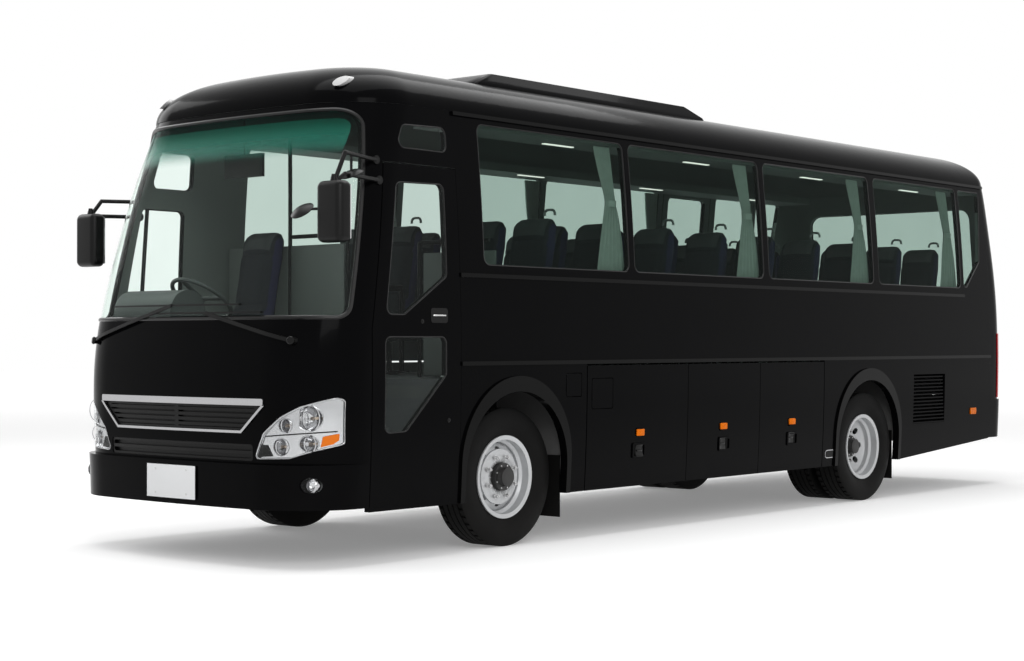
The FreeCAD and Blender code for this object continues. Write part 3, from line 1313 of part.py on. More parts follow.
# Floor, steps and cabin
def tread_z(number):
    """The height of a step's tread, counted from the door."""
    return PLATFORM_Z - STEP_RISE * (4 - number)


def step_outline():
    """The stairs from the front, from the platform down to the door."""
    points = [(PLATFORM_EDGE_X, PLATFORM_Z)]
    for number in (3, 2, 1):
        x = PLATFORM_EDGE_X + STEP_GOING * (3 - number)
        points += [(x, tread_z(number)), (x + STEP_GOING, tread_z(number))]
    return points


def step_well():
    """Three steps of sheet, closed at both ends."""
    line = step_outline()
    ring = line + [(x - STEP_SHEET, z - STEP_SHEET) for x, z in reversed(line)]
    clear = lower_solid(WALL + STEP_DOOR_GAP)
    stairs = outline(ring, on_front(STEP_FRONT_Y)).extrude(Vector(0, STEP_REAR_Y - STEP_FRONT_Y, 0))
    walls = []
    for place in (STEP_FRONT_Y, STEP_REAR_Y - STEP_SHEET / 2):
        side = line + [(HALF_WIDTH, tread_z(1)), (HALF_WIDTH, PLATFORM_Z), (PLATFORM_EDGE_X, PLATFORM_Z)]
        walls.append(outline(side, on_front(place)).extrude(Vector(0, STEP_SHEET / 2, 0)))
    keep("step_well", stairs.fuse(walls).common(clear).fuse(door_post()))


def floor():
    """The passenger floor, the driver's platform and the riser between them."""
    clear = lower_solid(WALL + SEAT)
    low = FLOOR_Z - FLOOR_THICKNESS
    edge = PLATFORM_EDGE_X - STEP_SHEET - SEAT
    base = PLATFORM_Z - FLOOR_THICKNESS
    seam = CAP_SEAM_Y - SEAT
    slab = box((-HALF_WIDTH, CAP_SEAM_Y, low), (HALF_WIDTH, REAR_FACE_Y, FLOOR_Z))
    platform = box((-HALF_WIDTH, -LENGTH / 2, base), (edge, seam, PLATFORM_Z))
    shelf = box((edge, -LENGTH / 2, base), (HALF_WIDTH, STEP_FRONT_Y - SEAT, PLATFORM_Z))
    shelf = shelf.common(lower_solid(WALL + STEP_DOOR_GAP))
    riser = box((-HALF_WIDTH, seam - STEP_SHEET, base), (edge, seam, FLOOR_Z))
    keep("floor", slab.common(clear))
    keep("floor", platform.fuse([shelf, riser]).common(clear).cut(lamp_rooms()))


def dashboard():
    """The dash under the windscreen, with its top rolled over and a hood in front of the driver."""
    front = FRONT_NOSE_Y
    back = front + DASH_DEPTH + WALL
    profile = ((front, PLATFORM_Z + SEAT), (back - DASH_DEPTH / 3, PLATFORM_Z + SEAT),
               (back - DASH_DEPTH / 3, DASH_TOP_Z - DASH_DEPTH / 3), (back, DASH_TOP_Z - DASH_DEPTH / 4),
               (back, DASH_TOP_Z - DASH_DEPTH / 8), (back - DASH_DEPTH / 5, DASH_TOP_Z),
               (front, DASH_TOP_Z))
    body = through(profile).common(lower_solid(WALL + DOOR_GAP)).cut(lamp_rooms())
    start = Vector(STEERING_X - HOOD_HALF, HOOD_Y, HOOD_TOP_Z - HOOD_RADIUS)
    hood = Part.makeCylinder(HOOD_RADIUS, 2 * HOOD_HALF, start, Vector(1, 0, 0))
    foot = box((start.x, HOOD_Y - HOOD_RADIUS, DASH_TOP_Z - OVERRUN),
               (start.x + 2 * HOOD_HALF, HOOD_Y + HOOD_RADIUS, start.z))
    keep("dashboard", body.fuse([hood, foot, steering_wheel()]))


def steering_wheel():
    """The driver's wheel on its column, fixed in this model."""
    tilt = math.radians(STEERING_TILT)
    axis = Vector(0, math.sin(tilt), math.cos(tilt))
    centre = Vector(STEERING_X, STEERING_Y, STEERING_Z)
    ring = Part.makeTorus(STEERING_RADIUS, STEERING_TUBE, centre, axis)
    column = cylinder(centre - axis * COLUMN_LENGTH, centre, 2 * STEERING_TUBE)
    reach = Vector(STEERING_RADIUS, 0, 0)
    ahead = Vector(0, -math.cos(tilt), math.sin(tilt)) * STEERING_RADIUS
    spokes = [cylinder(centre - reach, centre + reach, STEERING_TUBE),
              cylinder(centre, centre + ahead, STEERING_TUBE)]
    return column.fuse([ring] + spokes)


def seat_solid(width, base_z, cushion_z, top_z, length):
    """A seat drawn from the side: a cushion, a leaning back and a pedestal, all one soft form."""
    back = length * SEAT_BACK_SHARE
    thick = length * SEAT_THICK_SHARE
    lean = length * SEAT_LEAN_SHARE
    dip = length * SEAT_DIP_SHARE
    under = cushion_z - thick
    profile = ((thick, base_z), (length - thick, base_z), (length - thick, under), (length, under),
               (length + lean, top_z - dip), (length + lean - dip, top_z), (length + lean - back, top_z),
               (length - back, cushion_z - dip), (dip, cushion_z), (0.0, cushion_z - dip), (0.0, under),
               (thick, under))
    return outline(profile, on_side(0.0)).extrude(Vector(width, 0, 0))


def passenger_seats():
    """Rows of seat pairs on both sides of the aisle and a bench across the back."""
    for side in (1, -1):
        for row in range(SEAT_ROWS):
            pair = seat_solid(SEAT_PAIR_WIDTH, FLOOR_Z + SEAT, SEAT_CUSHION_Z, SEAT_TOP_Z, SEAT_LENGTH)
            outer_x = HALF_WIDTH - barrel(SEAT_TOP_Z) - WALL - SEAT_WALL_GAP
            start_x = outer_x - SEAT_PAIR_WIDTH if side > 0 else -outer_x
            pair.translate(Vector(start_x, FIRST_SEAT_Y + SEAT_PITCH * row, 0))
            keep("seats", pair)


def driver_seat():
    """The driver's seat on its pedestal."""
    seat = seat_solid(SEAT_PAIR_WIDTH * DRIVER_SEAT_SHARE, PLATFORM_Z + SEAT, DRIVER_CUSHION_Z,
                      DRIVER_SEAT_TOP_Z, SEAT_LENGTH)
    half = SEAT_PAIR_WIDTH * DRIVER_SEAT_SHARE / 2
    seat.translate(Vector(STEERING_X - half, DRIVER_SEAT_Y, 0))
    keep("seats", seat)


def racks():
    """Luggage racks over the seats, held against the walls."""
    clear = lower_solid(WALL + SEAT)
    inner = HALF_WIDTH - barrel(RACK_Z) - WALL - RACK_WIDTH
    front, rear = CAP_SEAM_Y + WALL, REAR_SEAM_Y - WALL
    shelf = box((inner, front, RACK_Z), (HALF_WIDTH, rear, RACK_Z + RACK_SHEET))
    lip = box((inner, front, RACK_Z), (inner + RACK_SHEET, rear, RACK_Z + 3 * RACK_SHEET))
    rack = shelf.fuse(lip)
    for made in (rack, mirrored(rack)):
        keep("luggage_racks", made.common(clear))


def curtains():
    """Curtains tied back at the rear end of each side window, as thin forms along the wall."""
    layer = skin(WALL + SEAT, WALL + SEAT + CURTAIN_DEPTH)
    for side in (1, -1):
        for points, radius in windows(side)[:-1]:
            end = max(along for along, up in points)
            edge = ((CURTAIN_TOP, CURTAIN_TOP_Z), (CURTAIN_TIE, CURTAIN_TIE_Z),
                    (CURTAIN_HEM, CURTAIN_HEM_Z))
            front = [(end + span[0], up) for span, up in edge]
            rear = [(end + span[1], up) for span, up in reversed(edge)]
            keep("curtains", layer.common(across(front + rear, side)))


def interior_mirror():
    """The driver's inside mirror, hung from the brow."""
    glass = box((-IN_MIRROR_WIDTH / 2, IN_MIRROR_Y, IN_MIRROR_Z),
                (IN_MIRROR_WIDTH / 2, IN_MIRROR_Y + IN_MIRROR_SHEET, IN_MIRROR_Z + IN_MIRROR_HEIGHT))
    foot = Vector(0, IN_MIRROR_Y + IN_MIRROR_SHEET / 2, IN_MIRROR_Z + IN_MIRROR_HEIGHT / 2)
    inside = roof_solid(WALL + SEAT).fuse(lower_solid(WALL + SEAT))
    stem = cylinder(foot, Vector(0, foot.y, CROWN_Z), MIRROR_ARM_RADIUS / 2).common(inside)
    keep("interior_mirror", glass.fuse(stem))


# Outside mirrors and wipers
def bent_tube(points, radius):
    """A tube along straight runs, with a ball at each bend."""
    parts = [cylinder(start, end, radius) for start, end in zip(points, points[1:])]
    parts += [Part.makeSphere(radius, point) for point in points[1:-1]]
    return parts[0].fuse(parts[1:])


def mirror_shell(centre, width, depth, height):
    """A rounded mirror housing."""
    low = (centre[0] - width / 2, centre[1] - depth / 2, centre[2] - height / 2)
    high = (centre[0] + width / 2, centre[1] + depth / 2, centre[2] + height / 2)
    shell = box(low, high)
    return shell.makeFillet(min(width, depth) * MIRROR_ROUND_SHARE, shell.Edges)


def root_on_wall(y, z, side):
    """A point just outside the cab frame."""
    ray = Part.makeLine(Vector(0, y, z), Vector(side * LENGTH, y, z))
    hit = ray.common(lower_solid(-SEAT)).BoundBox
    return Vector(hit.XMax if side > 0 else hit.XMin, y, z)


def round_mirror(centre, axis):
    """A round wide-angle mirror with a domed back that points along the axis."""
    way = Vector(*axis).normalize()
    foot = centre - way * (ROUND_MIRROR_DEPTH / 2)
    disc = Part.makeCylinder(ROUND_MIRROR_RADIUS, ROUND_MIRROR_DEPTH, foot, way)
    dome_centre = foot + way * (ROUND_MIRROR_DEPTH - ROUND_MIRROR_DOME)
    return disc.common(Part.makeSphere(ROUND_MIRROR_DOME, dome_centre))


def mirror_group(side, y, z, root_zs):
    """One side's mirror arms from the pillar, with the main housing and its boot."""
    centre = Vector(side * MIRROR_X, y, z)
    low, high = [root_on_wall(MIRROR_ROOT_Y, root_z, side) for root_z in root_zs]
    crown = centre + Vector(0, 0, MIRROR_HEIGHT / 2 - MIRROR_ARM_RADIUS)
    arms = []
    for root in (low, high):
        knee = Vector(centre.x, y + MIRROR_HEIGHT / 4, root.z)
        arms.append(bent_tube([root, knee, crown], MIRROR_ARM_RADIUS))
        arms.append(Part.makeCylinder(2 * MIRROR_ARM_RADIUS, MIRROR_ARM_RADIUS, root, Vector(side, 0, 0)))
    boot = Part.makeCone(BOOT_RADIUS, MIRROR_ARM_RADIUS, BOOT_HEIGHT, crown)
    return [mirror_shell(centre, MIRROR_WIDTH, MIRROR_DEPTH, MIRROR_HEIGHT), boot] + arms


def outside_mirrors():
    """The mirrors on both pillars; the left one also carries two round wide-angle mirrors."""
    left = mirror_group(1, MIRROR_LEFT_Y, MIRROR_LEFT_Z, MIRROR_LEFT_ROOT_ZS)
    high = root_on_wall(MIRROR_ROOT_Y, MIRROR_LEFT_ROOT_ZS[1], 1)
    share = (HANGING_MIRROR_Y - MIRROR_ROOT_Y) / (MIRROR_LEFT_Y + MIRROR_HEIGHT / 4 - MIRROR_ROOT_Y)
    hang = high + Vector((MIRROR_X - high.x) * share, HANGING_MIRROR_Y - MIRROR_ROOT_Y, 0)
    low = Vector(hang.x, hang.y, HANGING_MIRROR_Z)
    kerb = Vector(KERB_MIRROR_X, KERB_MIRROR_Y, KERB_MIRROR_Z)
    centre = Vector(MIRROR_X, MIRROR_LEFT_Y, KERB_MIRROR_Z)
    left += [cylinder(hang, low, ROUND_MIRROR_STEM), round_mirror(low, (0.0, -1.0, 2.0)),
             cylinder(centre, kerb, ROUND_MIRROR_STEM), round_mirror(kerb, (0.0, -1.0, 1.2))]
    right = mirror_group(-1, MIRROR_RIGHT_Y, MIRROR_RIGHT_Z, MIRROR_RIGHT_ROOT_ZS)
    for parts in (left, right):
        keep("outside_mirrors", parts[0].fuse(parts[1:]).cut(lower_solid(-SEAT)))


def strip(start, end, width):
    """A straight band between two points of an outline."""
    run = math.hypot(end[0] - start[0], end[1] - start[1])
    across_u = -(end[1] - start[1]) / run * width / 2
    across_v = (end[0] - start[0]) / run * width / 2
    return ((start[0] - across_u, start[1] - across_v), (end[0] - across_u, end[1] - across_v),
            (end[0] + across_u, end[1] + across_v), (start[0] + across_u, start[1] + across_v))


def wipers():
    """Two wipers parked over the windscreen's lower edge, each with its boss, arm and blade."""
    nose = -LENGTH / 2 - OVERRUN
    reach = WIPER_REACH
    for pivot_x, (inner_x, outer_x, blade_z) in zip(WIPER_PIVOTS, WIPER_BLADES):
        middle = ((inner_x + outer_x) / 2, blade_z)
        boss = Part.makeCylinder(WIPER_BOSS, DOOR_FRONT_LOW_Y - nose,
                                 Vector(pivot_x, nose, WIPER_PIVOT_Z), Vector(0, 1, 0))
        arm = into_front(strip((pivot_x, WIPER_PIVOT_Z), middle, WIPER_WIDTH))
        blade = into_front(strip((inner_x, blade_z), (outer_x, blade_z), WIPER_WIDTH / 2))
        parts = [skin(-reach, -SEAT).common(boss), skin(-reach, -reach / 2).common(arm),
                 skin(-3 * reach / 4, GLASS_DEPTH - SEAT).common(blade)]
        keep("wipers", parts[0].fuse(parts[1:]))


def build():
    """Makes every piece."""
    for make in (side_walls, side_glass, cab_frame, front_panel, grille, grille_trim, headlamps, bumpers,
                 fog_lamps, skirts, louvre, roof, rear_wall, engine_lid, entrance_door, door_arm,
                 luggage_lids, flaps, emergency_door, trims, flares, marker_lamps, tail_lamps,
                 clearance_lamps, roof_unit, front_wheels, rear_wheels, knuckles, front_axle, rear_axle,
                 chassis, bays, wheel_houses, engine, mud_flaps, step_well, floor, dashboard,
                 passenger_seats, driver_seat, racks, curtains, interior_mirror, outside_mirrors, wipers):
        make()


def main():
    """Writes one file for each piece."""
    os.makedirs("parts", exist_ok=True)
    build()
    for name, solids in NODES.items():
        Part.makeCompound(solids).exportStep("parts/%s.step" % name)


if __name__ == "__main__":
    main()
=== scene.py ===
"""Paint, glass, lamps, wheels, seats, curtains and a plain studio for the black touring coach."""

import json
import math

import bpy
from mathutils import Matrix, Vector
from mathutils.bvhtree import BVHTree

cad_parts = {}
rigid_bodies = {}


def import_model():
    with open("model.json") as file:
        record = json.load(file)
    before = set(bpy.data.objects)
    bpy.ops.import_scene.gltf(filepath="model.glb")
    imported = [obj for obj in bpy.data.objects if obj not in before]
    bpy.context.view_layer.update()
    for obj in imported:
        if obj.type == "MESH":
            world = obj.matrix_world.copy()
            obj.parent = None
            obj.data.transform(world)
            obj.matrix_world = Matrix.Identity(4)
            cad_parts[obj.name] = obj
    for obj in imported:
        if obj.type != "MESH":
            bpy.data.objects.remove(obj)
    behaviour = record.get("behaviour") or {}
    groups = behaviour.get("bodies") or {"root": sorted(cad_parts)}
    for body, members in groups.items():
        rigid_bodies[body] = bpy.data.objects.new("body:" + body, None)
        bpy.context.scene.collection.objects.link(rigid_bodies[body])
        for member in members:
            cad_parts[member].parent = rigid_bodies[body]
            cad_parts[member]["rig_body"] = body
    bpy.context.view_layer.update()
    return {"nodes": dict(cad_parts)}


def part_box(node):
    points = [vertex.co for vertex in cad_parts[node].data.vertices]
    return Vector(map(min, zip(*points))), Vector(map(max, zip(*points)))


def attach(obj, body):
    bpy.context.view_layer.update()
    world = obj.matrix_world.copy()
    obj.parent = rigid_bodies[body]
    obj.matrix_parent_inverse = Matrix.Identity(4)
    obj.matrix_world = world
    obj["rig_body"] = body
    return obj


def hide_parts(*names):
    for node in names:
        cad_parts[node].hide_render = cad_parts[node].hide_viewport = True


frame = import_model()
NODES = frame["nodes"]
SURFACES = {}
bpy.context.scene.view_settings.view_transform = "Standard"

# Camera, from a fit to the photograph's own points
CAMERA_PLACE = Vector((8.683, -11.491, 1.315))
CAMERA_YAW = math.radians(40.49)
CAMERA_PITCH = math.radians(0.35)
CAMERA_LENS = 63.9
SENSOR_WIDTH = 36.0
CAMERA_CLIP = 180.0

# Studio: each lamp's place, target, size and power
FLOOR_HALF = 60.0
FLOOR_TONE = (0.9, 0.9, 0.9)
WORLD_LIGHT = 0.55
FLOOR_FADE = (8.0, 26.0, 0.22, 0.5)
SOFT_LAMPS = (((0.0, 0.0, 9.0), (0.0, 0.0, 0.0), (6.0, 14.0), 700.0),
              ((9.0, -9.0, 6.0), (0.0, -2.0, 1.5), (5.0, 5.0), 350.0),
              ((-9.0, -4.0, 6.0), (0.0, 0.0, 1.5), (5.0, 5.0), 250.0))

# Shared by all shapes: sides of the coach, facets and roundings
SIDES = ((1, "left"), (-1, "right"))
MERGE_GAP = 0.00002
CREASE = math.radians(32)
TURN_STEPS = 32
FINE_STEPS = 48
FOG_STEPS = 40
CAP_STEPS = 24
BULB_STEPS = 20
BAR_SIDES = 16
BOLT_SIDES = 12
HEX_SIDES = 6
TUBE_ROUND = 3
SOFT_EDGE = 3
CORNER_STEPS = 4
CORNER_LIMIT = 2.1
LAID_CUTS = 6
DOOR_PLATE_CUTS = 4
FEW_CUTS = 3

# Shared by the finishes: the sockets of a colour mix, and where some finishes change
MIX_FIRST, MIX_SECOND, MIX_RESULT = 6, 7, 2
GLASS_IOR = 1.04
# The glass glows faintly in its own tint: a painted reflection veil, since its low IOR reflects very little
GLASS_PAINTED_GLOW = 0.006
SCREEN_BAND = (2.42, 2.70)
SCREEN_BAND_TINT = (0.0, 0.16, 0.12, 1.0)
GLASS_DRIFT = 0.03
MID_GREY = (0.5, 0.5, 0.5, 1.0)
WHITE = (1.0, 1.0, 1.0, 1.0)
SPREAD = 0.1
PATCH_SCALE = 3.0
GRAIN_SCALE = 300.0
PLAIN_ROUGHNESS = 0.4
BUMP = 0.05
BUMP_DEPTH = 0.001
DUST_TOP = 0.9
DUST_AMOUNT = 0.2
DUST_TONE = (0.16, 0.14, 0.12, 1.0)
PATCH_DETAIL = 5.0
GRAIN_DETAIL = 3.0
DUST_DETAIL = 6.0
DUST_SCALE = 9.0
CAB_GLASS_Y = -3.2
ROOF_LAMP_Z = 2.5
TAIL_LAMP_HEIGHT = 0.2

# Rays, plates and seals on the body
NOSE_REACH = 8.0
KEEL_HALF = 3.5
CABIN_MIDDLE_Z = 1.9
INNER_SHARE = 0.3
SEAL_ANGLE = math.radians(50)
OUTER_SHARE = 0.6
SCREEN_SEAL = 0.014
WINDOW_SEAL = 0.006
TRIM_SHEET = 0.002
BAND_MIDDLE_Z = 2.53
BAND_SIZE = (1.9, 0.24)
BAND_ROUND = 0.08
BAND_SET = 0.012
BAND_SHEET = 0.001
BAND_CUTS = 14
BAND_STRENGTH = 0.8
BAND_FADE_SHARE = 0.25

# Tyres
TYRE_STEPS = 144
TYRE_WALL_SHARES = ((0.733, 0.562), (0.765, 0.60), (0.90, 0.69), (1.0, 0.79), (0.985, 0.87), (0.94, 0.95),
                    (0.90, 0.985), (0.855, 1.0))
GROOVE_SHARES = (0.55, 0.19)
GROOVE_WALL_SHARES = ((0.5, 0.0), (0.34, 1.0), (-0.34, 1.0), (-0.5, 0.0))
GROOVE_WIDTH = 0.009
GROOVE_DEPTH = 0.011
SLOT_BAND = (0.60, 0.86)
SLOT_REACH_SHARE = 0.99
SLOT_PITCH = 3
SLOT_DRAFT = 0.001

# Wheel nuts, hubs and valves
FRONT_DISC_SET = 0.062
FRONT_HUB_REACH = 0.062
REAR_DISC_SET = -0.058
REAR_HUB_REACH = 0.089
WHEEL_NUTS = 8
NUT_CIRCLE = 0.1335
NUT_RADIUS = 0.013
NUT_WASHER = 0.004
NUT_HEIGHT = 0.028
NUT_EDGE = NUT_WASHER / 3
STUD_EDGE = NUT_WASHER / 4
STUD_REACH = 0.036
WASHER_RADIUS = 0.0155
HUB_BOLTS = 8
HUB_DARK_RADIUS = 0.1
HUB_BOLT_CIRCLE = 0.076
HUB_BOLT_RADIUS = 0.006
HUB_BOLT_EDGE = HUB_BOLT_RADIUS / 6
HUB_DOME_RADIUS = 0.06
HUB_DOME_HEIGHT = 0.012
HUB_DOME_SHARES = ((0.0, 0.0), (1.0, 0.0), (1.0, 0.35), (0.85, 0.8), (0.45, 1.0), (0.0, 1.0))
VALVE_CIRCLE = 0.205
VALVE_LENGTH = 0.04
VALVE_RADIUS = 0.004
VALVE_SHARES = ((0.0, 0.0), (0.5, 0.0), (1.0, -0.25))

# Front lamps
LAMP_RING_RADIUS = 0.0035
LAMP_BOWLS = ((1.01, 0.872, 0.07), (0.88, 0.83, 0.04), (1.0, 0.724, 0.048), (0.85, 0.706, 0.048))
BOWL_RING_SET = 0.02
BOWL_RING = 0.004
BOWL_RING_SHARES = ((-1.0, 0.0), (0.0, 1.0), (1.0, 0.0), (0.0, -1.0))
LAMP_BULB_SET = 0.05
BULB_RADIUS = 0.008
BULB_SHARES = ((0.0, 0.0), (0.7, 0.0), (1.0, 1.0), (1.0, 3.0), (0.0, 3.0))
LAMP_BAR_XS = (0.755, 1.115)
LAMP_BAR_Z = 0.765
LAMP_BAR_RISE = 0.03
LAMP_BAR_POINTS = 9
LAMP_BAR_SET = 0.012
LAMP_BAR_RADIUS = 0.004
LAMP_AMBER = ((1.055, 0.705), (1.10, 0.722), (1.118, 0.745), (1.12, 0.782), (1.065, 0.766))
LAMP_FOOT = ((0.69, 0.643), (0.80, 0.65), (0.765, 0.715), (0.722, 0.715))
LAMP_PLATE_SET = 0.012
LAMP_PLATE = 0.003
FOG_X = 1.03
FOG_Z = 0.487
FOG_RADIUS = 0.044
FOG_RING = 0.012
FOG_RING_SHARES = ((1.0, 0.0), (0.88, 0.5), (0.8, 0.5), (0.8, -1.0), (1.0, -1.0))
FOG_BOWL_SHARES = ((0.0, -3.0), (0.3, -2.6), (0.7, -1.4), (0.78, -0.6), (0.78, -3.4), (0.0, -3.4))

# Number plates
PLATE_WIDTH = 0.45
PLATE_HEIGHT = 0.2
PLATE_SHEET = 0.003
PLATE_EDGE = PLATE_SHEET / 3
PLATE_STAND = 0.008
PLATE_BOLT_SHARES = (0.32, 0.36)
PLATE_BOLT = 0.007
FRONT_PLATE = (0.013, 0.475)
REAR_PLATE = (0.0, 0.62)

# Mirrors and wipers
MIRRORS = {"left": (1.255, -4.34, 2.05), "right": (-1.255, -4.15, 1.985)}
MIRROR_SIZE = (0.2, 0.11, 0.35)
MIRROR_GLASS_SHARES = (0.41, 0.44)
MIRROR_LIP = 0.004
WIPER_PIVOT_X = 0.924
WIPER_PIVOT_Z = 1.322
PIVOT_PROFILE = ((0.0, -0.002), (0.024, -0.002), (0.024, 0.008), (0.018, 0.014), (0.0, 0.014))

# Door, lids and body fittings
HANDLE_MIDDLE = (-3.3685, 1.474)
HANDLE_SIZE = (0.15, 0.09)
HANDLE_ROUND = 0.02
HANDLE_GRIP_SHARE = 0.36
HANDLE_STAND = 0.014
HANDLE_BAR = 0.0055
DOOR_LOCKS = ((-3.521, 1.437), (-3.282, 0.834))
LOCK_PROFILE = ((0.0, 0.0), (0.014, 0.0), (0.014, 0.002), (0.010, 0.004), (0.004, 0.004), (0.004, 0.002),
                (0.0, 0.002))
LID_CUP = (0.082, 0.082)
LID_CUP_ROUND = 0.01
LID_BAR = 0.006
LID_MARKER = (0.075, 0.045)
MARKER_SHEET = 0.009
LID_HANDLES = ((-1.32, 0.559), (-0.295, 0.565), (0.653, 0.571))
LID_MARKERS = ((-1.321, 0.686), (-0.291, 0.694), (0.657, 0.697))
OVAL_MIDDLE = (1.275, 0.415)
OVAL_SIZE = (0.18, 0.066)
OVAL_ROUND = 0.031
OVAL_RING = 0.006
TAIL_GRIP_HALF = 0.09
TAIL_GRIP_REACH = 0.03
TAIL_GRIP_RADIUS = 0.007
TAIL_GRIP_RISE = 0.09
LID_VENT_ROWS = 6
LID_VENT_PITCH = 0.035
LID_VENT_HALF = (0.2, 0.004, 0.006)
LID_VENT_DROP = 0.12
LID_VENT_X = 0.35

# Seats
SEAT_PAIR = 0.89
SEAT_SPLIT = 0.006
SEAT_DEPTH = 0.48
SEAT_TOP = 2.19
SEAT_CUSHION = 1.48
SEAT_LEAN = 0.144
SEAT_OUTER_X = 1.0608
SEAT_FIRST_Y = -2.6
SEAT_PITCH = 0.68
SEAT_ROWS = 9
CABIN_FLOOR = 1.08
PLATFORM = 0.96
DRIVER_X = -0.56
DRIVER_Y = -3.78
DRIVER_CUSHION = 1.385
CUSHION_HEIGHT = 0.144
CUSHION_TUCK = 0.02
BACK_DEPTH = 0.134
BACK_SINK = 0.05
PAD_VOXEL = 0.0165
PAD_PRESSURE = 4.0
PAD_FRAMES = 20
PAD_CAP = 0.025
PAD_INSET = 0.022
PAD_ROUND = 0.03
CHANNEL_SHARE = 0.27
CHANNEL_DEPTH = 0.01
CHANNEL_SPREAD = 0.016
CHANNEL_REACH = 3.0
CHANNEL_FACING = 0.3
CUSHION_SEAM_SHARE = 0.72
BACK_SEAM_SHARES = (0.3, 0.74)
SHOULDER_SHARES = ((0.5, 0.0), (0.5, 0.72), (0.45, 0.93), (0.34, 1.0))
HEADREST_SHARES = (0.78, 0.97, 0.31)
BOLSTER_SHARE = 0.36
BACK_FACING = 0.3
FRAME_TUBE = 0.016
FRAME_LEG_SHARES = (0.32, 0.72)
FRAME_HALF_SHARE = 0.3
FRAME_FOOT_SHARES = (0.2, 0.84)
FRAME_PAN_SHARES = (0.46, 0.12, 0.7)
ARM_RISE = 0.2
ARM_SHARES = (0.22, 0.68)
LOOP_INSET = 0.05
LOOP_WIDTH = 0.09
LOOP_RISE = 0.03
LOOP_SHARES = (0.1, 0.32)
LOOP_RADIUS = 0.009
LOOP_LEAN_SHARE = 0.86
DRIVER_BASE_HALF = 0.17
DRIVER_BASE_SHARES = (0.16, 0.66)

# Curtains
CURTAIN_COLUMNS = 56
CURTAIN_ROWS = 14
CURTAIN_ZS = (2.655, 2.265, 1.79)
CURTAIN_TOP = (-0.24, -0.06)
CURTAIN_TIE = (-0.132, -0.042)
CURTAIN_HEM = (-0.283, 0.03)
CURTAIN_CURVES = (0.7, 0.6)
CURTAIN_PLEATS = 6
CURTAIN_DRIFT = 0.4
CURTAIN_SWAY = 5.0
CURTAIN_SQUEEZE = 0.35
CURTAIN_SET = 0.048
CURTAIN_WALLS = {1: "side_wall_left", -1: "side_wall_right"}
CURTAIN_PROBE = 0.05
PLEAT_DEPTH = 0.018
TIE_WIDTH = 0.045
TIE_SHARES = (1.25, 0.56)
TIE_SECTION = ((0.94, -0.5), (1.0, -0.5), (1.0, 0.5), (0.94, 0.5))
WINDOW_ENDS = (-1.425, 0.285, 1.965, 3.54)

# Cabin fittings
SLIT_YS = (-1.79, -0.13, 1.53, 3.19)
SLIT_X = 0.8
SLIT_SIZE = (0.03, 0.32, 0.012)
PARTITION_PANELS = (((-1.04, -3.14, 1.09), (-0.44, -3.122, 1.96)),
                    ((-0.41, -3.14, 1.09), (0.1, -3.122, 1.96)),
                    ((0.42, -2.72, 1.09), (1.05, -2.702, 1.9)))
PARTITION_ROUND = 0.006
RAIL_LINES = (((-0.425, -3.131, 1.08), (-0.425, -3.131, 2.3), (-0.425, -3.131, 2.7)),
              ((0.13, -3.131, 1.08), (0.13, -3.131, 2.0), (0.13, -3.131, 2.02), (0.1, -3.131, 2.02),
               (-0.4, -3.131, 2.02)),
              ((0.38, -2.711, 1.08), (0.38, -2.711, 1.95), (0.38, -2.711, 1.97), (0.42, -2.711, 1.97),
               (1.0, -2.711, 1.97)),
              ((-1.118, -3.79, 2.2), (-1.122, -3.815, 1.84), (-1.122, -3.84, 1.48)))
RAIL_TUBE = 0.014


# Selecting and finishing by operator
def clear():
    """Leaves edit mode with nothing selected."""
    if bpy.context.mode != "OBJECT":
        bpy.ops.object.mode_set(mode="OBJECT")
    bpy.ops.object.select_all(action="DESELECT")


def pick(*objs):
    """Selects these objects alone, the first one active."""
    clear()
    for obj in objs:
        obj.select_set(True)
    bpy.context.view_layer.objects.active = objs[0]


def edit(obj):
    """Opens a mesh for editing with all of it selected."""
    pick(obj)
    bpy.ops.object.mode_set(mode="EDIT")
    bpy.ops.mesh.select_all(action="SELECT")


def close():
    """Goes back to object mode."""
    bpy.ops.object.mode_set(mode="OBJECT")


def settle(obj):
    """Puts an object's place, turn and size into its mesh."""
    pick(obj)
    bpy.ops.object.transform_apply(location=True, rotation=True, scale=True)
    return obj


def modify(obj, kind, **values):
    """Adds one modifier and applies it."""
    pick(obj)
    modifier = obj.modifiers.new(kind.title(), kind)
    for name, value in values.items():
        setattr(modifier, name, value)
    bpy.ops.object.modifier_apply(modifier=modifier.name)
    return obj


def smooth(obj):
    """Shades a mesh smooth apart from its sharp edges."""
    pick(obj)
    bpy.ops.object.shade_smooth_by_angle(angle=CREASE)
    return obj


def tidy_mesh(obj):
    """Merges doubles, drops loose bits and turns the faces outwards."""
    edit(obj)
    bpy.ops.mesh.remove_doubles(threshold=MERGE_GAP)
    bpy.ops.mesh.delete_loose()
    bpy.ops.mesh.select_all(action="SELECT")
    bpy.ops.mesh.normals_make_consistent(inside=False)
    close()
    return obj


def active():
    """The object that the last step worked on."""
    return bpy.context.view_layer.objects.active


def joined(objs):
    """Joins several meshes into the first."""
    pick(*objs)
    if len(objs) > 1:
        bpy.ops.object.join()
    return active()


def copied(obj, shift=(0.0, 0.0, 0.0)):
    """A copy with its own mesh, moved by a step."""
    pick(obj)
    bpy.ops.object.duplicate()
    twin = active()
    twin.location = Vector(shift)
    return settle(twin)


def piece(obj, name, body, slot, *materials):
    """Names a finished piece, gives it its materials and rides it on its body."""
    obj.name = name
    obj.data.name = name
    obj.data.materials.clear()
    for material in materials:
        obj.data.materials.append(material)
    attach(obj, body)
    return obj


def paint_faces(obj, test):
    """Gives the faces that pass a test of their centre and normal the piece's second material."""
    for face in obj.data.polygons:
        if test(face.center, face.normal):
            face.material_index = 1


